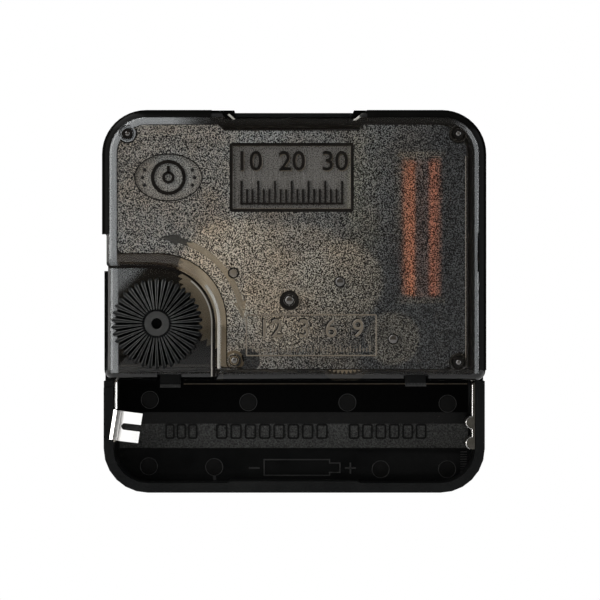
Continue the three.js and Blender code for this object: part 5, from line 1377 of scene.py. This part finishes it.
@dataclass
class Knob(SubAssembly):
    """The ridged setting knob in its well."""

    home: ClassVar[str] = "knob"
    record_slot: ClassVar[str] = "knob_plastic"
    centre: Spot = (-19.28, -3.38)
    radius: float = 6.68
    notch: float = 0.62
    hub: float = 1.9
    hub_sink: float = 0.3
    hole: float = 0.74
    ridges: int = 38
    per_ridge: int = 10
    crest_width: float = 0.34
    back: float = 12.5
    rim: float = 13.2
    face: float = 15.2
    shares: tuple[float, ...] = (0.0, 0.04, 0.12, 0.3, 0.5, 0.7, 0.86, 0.95, 1.0)
    highlight_shares: tuple[float, ...] = (0.05, 0.2, 0.4, 0.6, 0.8, 0.95)
    highlight_sides: Spot = (-0.22, 0.24)
    highlight_width: float = 0.032

    def build(self) -> None:
        """Builds the hub's face in a painted sheen, the painted highlights along the crests and the skin.
        """
        low, high = self.face - 0.32, self.face - 0.25
        hub = Form().trail(circle(self.centre, 1.3, 40), 1.0, low, high, looped=True)
        self.show(hub, "knob_hub_face", DUSTY_SHEEN_PLASTIC)
        self.show(self.crests(), "knob_crests", CREST_HIGHLIGHT_PLASTIC)
        piece = self.show(self.skin(), "ridged_knob", KNOB_PLASTIC, 28)
        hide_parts("setting_knob")

    def fall(self, share: float) -> float:
        """How far the ridges have sunk at a share of the way from hub to rim."""
        return 1.15 * share ** 2.6

    def crests(self) -> Form:
        """Painted highlights: thin pale lines on both shoulders of each ridge, closer to its crest near the
        hub.

        Returns:
            The form.
        """
        crests = Form()
        for i in range(self.ridges):
            for side in self.highlight_sides:
                turn = 2 * math.pi * (i + 0.5 + side) / self.ridges
                path = []
                for share in self.highlight_shares:
                    reach = self.hub + (self.radius - 0.12 - self.hub) * share
                    squeeze = 0.55 + 0.45 * share
                    bend = turn - 2 * math.pi * side * (1 - squeeze) / self.ridges
                    path.append(self.point(bend, reach, self.face - 0.03 - self.fall(share)))
                crests.tube(path, self.highlight_width, 5)
        return crests

    def skin(self) -> Form:
        """Skin with half-round ridges that thin out towards the rim.

        Returns:
            The form.
        """
        count, sunk = self.ridges * self.per_ridge, self.face - self.hub_sink
        offs = [abs((i % self.per_ridge) / self.per_ridge * 2 - 1) for i in range(count)]
        outer = [self.radius - self.notch * off ** 1.4 for off in offs]
        rings = [self.ring([reach] * count, [depth] * count)
                 for reach, depth in ((self.hole, self.back), (self.hole, self.face - 0.42),
                                      (self.hole + 0.12, sunk), (self.hub - 0.1, sunk))]
        for share in self.shares:
            depths = []
            for off in offs:
                groove = max(off - self.crest_width, 0.0) / (1 - self.crest_width)
                height = 0.0 if share == 0 else 0.26 - groove * min(0.3 + share * 2, 1)
                depths.append(sunk + height - self.fall(share) + 0.05 * (1 - off))
            rings.append(self.ring([self.hub + (tip - self.hub) * share for tip in outer], depths))
        rings.append(self.ring(outer, [self.rim] * count))
        rings.append(self.ring([reach - 0.25 for reach in outer], [self.back] * count))
        return Form().loft(rings, ends=False, looped=True)

    def ring(self, reaches: list[float], depths: list[float]) -> Ring:
        """Ring of points about the knob's axis."""
        step = 2 * math.pi / len(reaches)
        return [self.point(step * i, reach, depth) for i, (reach, depth) in enumerate(zip(reaches, depths))]

    def point(self, turn: float, reach: float, depth: float) -> Vector:
        """Point at a turn and a reach from the knob's axis."""
        return at(self.centre[0] + reach * math.cos(turn), self.centre[1] + reach * math.sin(turn), depth)


@dataclass
class Coil(SubAssembly):
    """The motor coil's winding of fine copper wire, with a band of painted dark reflection along its crest.
    """

    record_slot: ClassVar[str] = "copper"
    across: float = 19.25
    depth: float = 10.6
    low: float = 0.72
    high: float = 20.48
    radius: float = 2.77
    layers: tuple[tuple[float, int], ...] = ((2.12, 20), (2.77, 36))
    wire: float = 0.18
    loops: int = 55
    band_turn: int = 20
    band_gap: float = 0.2

    def build(self) -> None:
        """Winds an inner and an outer layer from flange to flange, close enough for turns to touch."""
        form = Form()
        for radius, steps in self.layers:
            count = self.loops * steps
            path = []
            for i in range(count + 1):
                up = self.low + (self.high - self.low) * i / count
                path.append(self.point(radius, 2 * math.pi * i / steps, up))
            form.tube(path, self.wire, 6)
        winding = self.show(form, "wound_coil", COPPER, 60)
        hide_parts("coil_outer_winding", "coil_inner_winding")
        self.dark_band()

    def dark_band(self) -> None:
        """Band of painted dark reflection along the winding's crest, where the round copper faces the
        viewer.
        """
        turns = [math.radians(90 - turn) for turn in range(-self.band_turn, self.band_turn + 1, 4)]
        section = [(self.radius + self.wire + 0.03, turn) for turn in turns]
        section += [(self.radius - 0.1, turn) for turn in reversed(turns)]
        rings = [[self.point(reach, turn, up) for reach, turn in section]
                 for up in (self.low + self.band_gap, self.high - self.band_gap)]
        self.show(Form().loft(rings), "coil_painted_dark_band", WINDING_DARK_BAND)

    def point(self, reach: float, turn: float, up: float) -> Vector:
        """Point about the coil's axis, turned from the right towards the viewer."""
        return at(self.across + reach * math.cos(turn), up, self.depth + reach * math.sin(turn))


@dataclass
class BatteryBay(SubAssembly):
    """Moulded marks on the floor, the walls and the rim of the battery bay."""

    record_slot: ClassVar[str] = "black_plastic"
    floor: float = 1.9
    trough_radius: float = 7.4
    trough_up: float = -19.35
    trough_depth: float = 8.8
    band: Spot = (-22.0, -16.7)
    band_middle: float = -18.4
    band_steps: int = 6
    band_thick: float = 0.06
    sides: Spot = (-25.4, 26.6)
    top: float = -11.9
    rib_groups: tuple[tuple[float, float, int], ...] = ((-18.7, -13.6, 3), (-11.2, 5.9, 8), (8.6, 20.6, 6))
    rib_ups: Spot = (-20.55, -18.55)
    pins: tuple[Spot, ...] = ((-20.85, -14.82), (-6.15, -15.18), (8.62, -15.23), (23.57, -15.39),
                              (-21.0, -24.74), (-11.24, -24.85), (13.58, -25.19), (23.5, -25.19))
    pin_radius: float = 1.28
    cell: tuple[Spot, ...] = ((-3.79, -26.1), (5.97, -26.1), (5.97, -25.65), (7.52, -25.65),
                              (7.52, -24.25), (5.97, -24.25), (5.97, -23.75), (-3.79, -23.75))
    signs: tuple[tuple[Spot, Spot], ...] = (((-6.1, -25.0), (-4.46, -25.0)), ((8.25, -25.0), (9.9, -25.0)),
                                            ((9.07, -24.18), (9.07, -25.82)))
    hook_bars: tuple[tuple[float, float, float], ...] = ((-17.65, -12.9, 5.95), (18.45, -12.55, 12.85))
    hook_width: float = 2.9
    hook_ribs: int = 15
    corner_ribs: int = 9
    wall_line: float = -12.3

    def build(self) -> None:
        """Builds the marks."""
        self.ejector_marks()
        self.polarity_marks()
        self.textured_band()
        self.small_ribs()

    def trough(self, up: float) -> float:
        """Depth of the trough's floor at a height."""
        off = up - self.trough_up
        return self.trough_depth - math.sqrt(self.trough_radius ** 2 - off * off)

    def ejector_marks(self) -> None:
        """Round marks of the mould's ejector pins, one with a nick under it, with painted sheen on their
        rims.
        """
        rings, discs, low, high = Form(), Form(), self.floor - 0.02, self.floor + 0.08
        for spot in self.pins:
            rings.trail(circle(spot, self.pin_radius, 36), 0.11, low, high, looped=True)
            discs.plate(circle(spot, self.pin_radius - 0.12, 36), low, self.floor + 0.02, 0.01)
        rings.trail([(-11.24, -26.1), (-11.15, -26.8)], 0.45, low, high)
        self.show(rings, "ejector_rims", DUSTY_SHEEN_PLASTIC)
        self.show(discs, "ejector_discs", MARK_PLASTIC)

    def polarity_marks(self) -> None:
        """Outline of a cell with its minus and plus signs, in a painted sheen."""
        low, high = self.floor - 0.02, self.floor + 0.14
        symbol = Form().trail(self.cell, 0.18, low, high, looped=True)
        for stroke in self.signs:
            symbol.trail(stroke, 0.24, low, high)
        self.show(symbol, "polarity_marks", DUSTY_SHEEN_PLASTIC)

    def textured_band(self) -> None:
        """Coarse band along the trough, its lower half lighter with painted light and its upper half plain
        dark as painted shade, a sheet of painted shade on the floor above it, a rib below it and plain ribs
        in three groups.
        """
        (x0, x1), thick = self.sides, self.band_thick
        # Painted light and shade: the band's lower half is lighter and its upper half darker.
        for name, low, high, finish in (("lit_band", self.band[0], self.band_middle, COARSE_PLASTIC),
                                        ("shaded_band", self.band_middle, self.band[1], MARK_PLASTIC)):
            rings: list[Ring] = []
            for i in range(self.band_steps + 1):
                up = low + (high - low) * i / self.band_steps
                depth = self.trough(up) + 0.03
                rings.append([at(x0, up, depth), at(x1, up, depth), at(x1, up, depth - thick),
                              at(x0, up, depth - thick)])
            self.show(Form().loft(rings), name, finish, 60)
        foot, rib = self.floor - 0.02, self.band[0] - 0.08
        # Painted shade: a darker sheet over the floor from the band up to the bay's top.
        shade_sheet = Form().plate(box((x0, self.band[1] + 0.02), (x1, self.top)), foot, self.floor + 0.015, 0.01)
        self.show(shade_sheet, "painted_shade_floor", SHADE_PLASTIC)
        ribs = Form().trail([(x0, rib), (x1, rib)], 0.2, foot, self.floor + 0.16)
        low, high = self.trough(self.trough_up) - 0.05, self.trough(-18.5) + 0.16
        for first, last, count in self.rib_groups:
            pitch = (last - first) / count
            for i in range(count):
                middle, half = first + pitch * (i + 0.5), pitch * 0.34
                outline = box((middle - half, self.rib_ups[0]), (middle + half, self.rib_ups[1]), 0.25)
                ribs.trail(outline, 0.26, low, high, looped=True)
        self.show(ribs, "bay_ribs", MARK_PLASTIC)

    def small_ribs(self) -> None:
        """Ribbed faces of both snap hooks and the ribbed corner by the positive end, in a painted sheen."""
        bars, width = Form(), self.hook_width
        for x, low, depth in self.hook_bars:
            middle = [(x - width / 2, low + 0.25), (x + width / 2, low + 0.25)]
            bars.trail(middle, 0.5, depth - 0.5, depth - 0.12)
            for i in range(self.hook_ribs):
                across = x + width * (i / (self.hook_ribs - 1) - 0.5)
                bars.trail([(across, low), (across, low + 0.5)], 0.11, depth - 0.4, depth)
        for i in range(self.corner_ribs):
            up = -22.6 - 0.36 * i
            bars.trail([(25.5, up), (26.45, up)], 0.14, self.floor - 0.02, self.floor + 0.3)
        self.show(bars, "small_ribs", DUSTY_SHEEN_PLASTIC)
        line = Form().trail([(-15.6, self.wall_line), (26.2, self.wall_line)], 0.13, 7.6, 7.9)
        self.show(line, "wall_edge", BROWN_TRIM)


@dataclass
class Contacts(SubAssembly):
    """The spring leaf at the cell's negative end, the fold that it bends from, and painted highlights on
    the strips' edges.
    """

    frame: dict
    record_slot: ClassVar[str] = "nickel"
    hinge: tuple[float, float, float] = (-24.956, -18.4, 9.9)
    tilt: float = 9.0
    slopes: Spot = (34.0, 42.0)
    length: float = 3.75
    width: float = 4.4
    thick: float = 0.22
    slit: float = 1.0
    slit_start: float = 0.3
    cuts: int = 16
    bend_start: float = 0.3
    bend_steps: int = 60
    fold: tuple[Spot, ...] = ((-1.3, -0.38), (-1.1, -0.24), (-0.9, -0.1), (-0.76, -0.02), (-0.68, 0.0),
                              (-0.4, 0.0), (-0.2, 0.0), (-0.1, -0.01), (-0.03, -0.03))
    fold_thick: float = 0.18
    strip_edge: float = -25.88
    strip_top: float = 9.35
    rim: float = 26.92
    bump: float = 0.92
    bumps: Spot = (-17.95, -21.0)

    def build(self) -> None:
        """Builds the forked leaf, which bends more towards its tips, its rolled fold and the strips."""
        piece = self.show(self.leaf(), "spring_leaf", SPRING_NICKEL, 40, "negative_leaf")
        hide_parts("negative_leaf")
        half, thick = self.width / 2, self.fold_thick
        rings = [[self.flat(along, -half, rise), self.flat(along, half, rise),
                  self.flat(along, half, rise - thick), self.flat(along, -half, rise - thick)]
                 for along, rise in self.fold]
        self.show(Form().loft(rings), "leaf_fold", SPRING_NICKEL, 25)
        self.strip()
        self.edges()

    def leaf(self) -> Form:
        """Both prongs of the leaf, with a half-round end to the slit between them.

        Returns:
            The form.
        """
        half, gap = self.width / 2, self.slit / 2
        leaf = Form()
        for side in (-1, 1):
            rings: list[Ring] = []
            for i in range(self.cuts + 1):
                along = self.length * i / self.cuts
                into = min(max(along - self.slit_start, 0.0), gap)
                inner = side * math.sqrt(gap ** 2 - (gap - into) ** 2)
                rings.append([self.spot(along, across, rise) for across, rise in (
                    (inner, 0.0), (half * side, 0.0), (half * side, -self.thick), (inner, -self.thick))])
            leaf.loft(rings)
        return leaf

    def strip(self) -> None:
        """Draws the contact's strip with its own fold kept under the modelled one."""
        mesh = self.frame["nodes"]["negative_contact"].data.copy()
        mesh.name = "contact_strip"
        for vertex in mesh.vertices:
            vertex.co.x = max(vertex.co.x, self.strip_edge * MM)
            vertex.co.y = max(vertex.co.y, -self.strip_top * MM)
        strip = linked("contact_strip", mesh)
        self.show(strip, "contact_strip", NICKEL)
        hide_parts("negative_contact")

    def edges(self) -> None:
        """Painted highlights along the edge of the positive strip with its two bumps, and along the
        negative strip's edge.
        """
        x, reach, (upper, lower) = self.rim, self.bump, self.bumps
        path = [(x, -12.4), (x, -17.0), *arc((x, upper), reach, 90, 270, 14),
                (x, -19.5), *arc((x, lower), reach, 90, 250, 14)]
        self.show(Form().trail(path, 0.14, 9.1, 9.4, edge=0.05), "positive_rim", SPRING_NICKEL)
        edge = Form().plate(box((-25.6, -15.95), (-25.34, -12.0)), 8.6, 9.9, 0.11)
        self.show(edge, "contact_edge", SPRING_NICKEL)

    def flat(self, along: float, across: float, rise: float) -> Vector:
        """Point of the fold, from the hinge along the tilted leaf, across it and towards the viewer."""
        tilt = math.radians(self.tilt)
        return at(self.hinge[0] + along * math.cos(tilt) + across * math.sin(tilt),
                  self.hinge[1] - along * math.sin(tilt) + across * math.cos(tilt), self.hinge[2] + rise)

    def slope(self, along: float) -> float:
        """How far the leaf is bent down at a distance from its hinge, as an angle."""
        first, last = (math.radians(slope) for slope in self.slopes)
        return first + (last - first) * along / self.length if along > self.bend_start else 0.0

    def spot(self, along: float, across: float, rise: float) -> Vector:
        """Point of the leaf from its hinge.

        Args:
            along: Distance from the hinge along the leaf's curve.
            across: Distance from its middle line.
            rise: Height over its outer face.

        Returns:
            The point.
        """
        step = along / self.bend_steps
        slopes = [self.slope((i + 0.5) * step) for i in range(self.bend_steps)]
        out, drop = (step * sum(turn(slope) for slope in slopes) for turn in (math.cos, math.sin))
        end = self.slope(along)
        return self.flat(out + rise * math.sin(end), across, rise * math.cos(end) - drop)


@dataclass
class Studio:
    """Pale floor, soft lamps, a white surround and the camera at the photo's angle."""

    floor_up: float = -75.0
    floor_half: float = 1000.0
    floor_back: float = 250.0
    distance: float = 516.0
    shift: Spot = (1.55, 0.06)
    lens: float = 206.85
    sensor: float = 36.0
    aim: float = 8.0
    lamps: tuple[tuple[str, tuple[float, float, float], Spot, float, Colour], ...] = (
        ("left_softbox", (-600, -280, 180), (600, 860), 5.6, (1.0, 0.985, 0.96)),
        ("right_softbox", (600, -180, 60), (440, 800), 4.0, (0.95, 0.975, 1.0)),
        ("top_softbox", (-340, -130, 600), (690, 420), 6.0, (1.0, 1.0, 1.0)))

    def build(self) -> None:
        """Sets up floor, surround, lamps and camera."""
        self.floor()
        self.surround()
        for lamp in self.lamps:
            self.lamp(*lamp)
        camera = linked("camera", bpy.data.cameras.new("camera"))
        camera.data.lens = self.lens
        camera.data.sensor_width = self.sensor
        camera.data.clip_start = 0.01
        camera.location = at(self.shift[0], self.shift[1], self.distance)
        camera.rotation_euler = (math.pi / 2, 0.0, 0.0)
        bpy.context.scene.camera = camera
        bpy.context.scene.view_settings.view_transform = "Standard"

    def lamp(self, name: str, place: tuple[float, float, float], size: Spot, power: float,
             colour: Colour) -> None:
        """Adds a soft rectangular lamp that faces the movement.

        Args:
            name: Name of the lamp.
            place: Its place in millimetres, in the shared frame's axes.
            size: Its width and height in millimetres.
            power: Its power in watts.
            colour: Its colour.
        """
        light = bpy.data.lights.new(name, "AREA")
        light.shape = "RECTANGLE"
        light.size, light.size_y = size[0] * MM, size[1] * MM
        light.energy = power
        light.color = colour
        lamp = linked(name, light)
        lamp.location = Vector(place) * MM
        lamp.rotation_euler = (at(0, 0, self.aim) - lamp.location).to_track_quat("-Z", "Y").to_euler()

    def floor(self) -> None:
        """Adds the pale floor below the camera's view."""
        half, back, up = self.floor_half, self.floor_back, self.floor_up
        corners = [at(-half, up, half), at(half, up, half), at(half, up, -back), at(-half, up, -back)]
        mesh = bpy.data.meshes.new("pale_floor")
        mesh.from_pydata([tuple(corner) for corner in corners], [], [(0, 1, 2, 3)])
        material, w, shader = blank_material("pale_floor_paint")
        noise = w.add("ShaderNodeTexNoise", {"Scale": 60.0, "Detail": 3.0})
        colour = w.tinted(noise.outputs[0], rgba((0.68, 0.68, 0.68)), rgba((0.72, 0.72, 0.72)))
        w.feed(shader, {"Base Color": colour, "Roughness": 0.85})
        mesh.materials.append(material)
        floor = linked("pale_floor", mesh)

    def surround(self) -> None:
        """Adds a surround that is white to the camera and dark only straight behind it."""
        world = bpy.data.worlds.new("studio")
        bpy.context.scene.world = world
        world.use_nodes = True
        w = Wiring(world.node_tree)
        back = world.node_tree.nodes["Background"]
        path = w.add("ShaderNodeLightPath")
        way = w.add("ShaderNodeTexCoord").outputs["Generated"]
        x, y, z = w.add("ShaderNodeSeparateXYZ", {0: way}).outputs
        front = w.ranged(w.times(y, -1.0), 0.8, 0.92, 1.0, 0.04)
        rear = w.ranged(y, -0.1, 0.3, 1.0, 0.03)
        side = w.ranged(x, -0.8, 0.8, 1.0, 0.45)
        above = w.ranged(z, -0.4, 0.4, 0.12, 1.0)
        tent = w.times(front, rear, side, above, 0.75)
        seen = w.most(path.outputs["Is Camera Ray"], path.outputs["Is Transmission Ray"])
        w.feed(back, {"Strength": w.between(seen, tent, 1.0), "Color": rgba((1.0, 1.0, 1.0))})


def main() -> None:
    """Builds the movement's looks in order and reports each piece."""
    logging.basicConfig(level=logging.INFO, format="%(message)s")
    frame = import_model()
    effects = Effects()
    for part in (Solids(frame, effects), Cover(effects), Knob(effects), Coil(effects), BatteryBay(effects),
                 Contacts(effects, frame), Studio()):
        part.build()
        log.info("built %s", type(part).__name__)


if __name__ == "__main__":
    main()
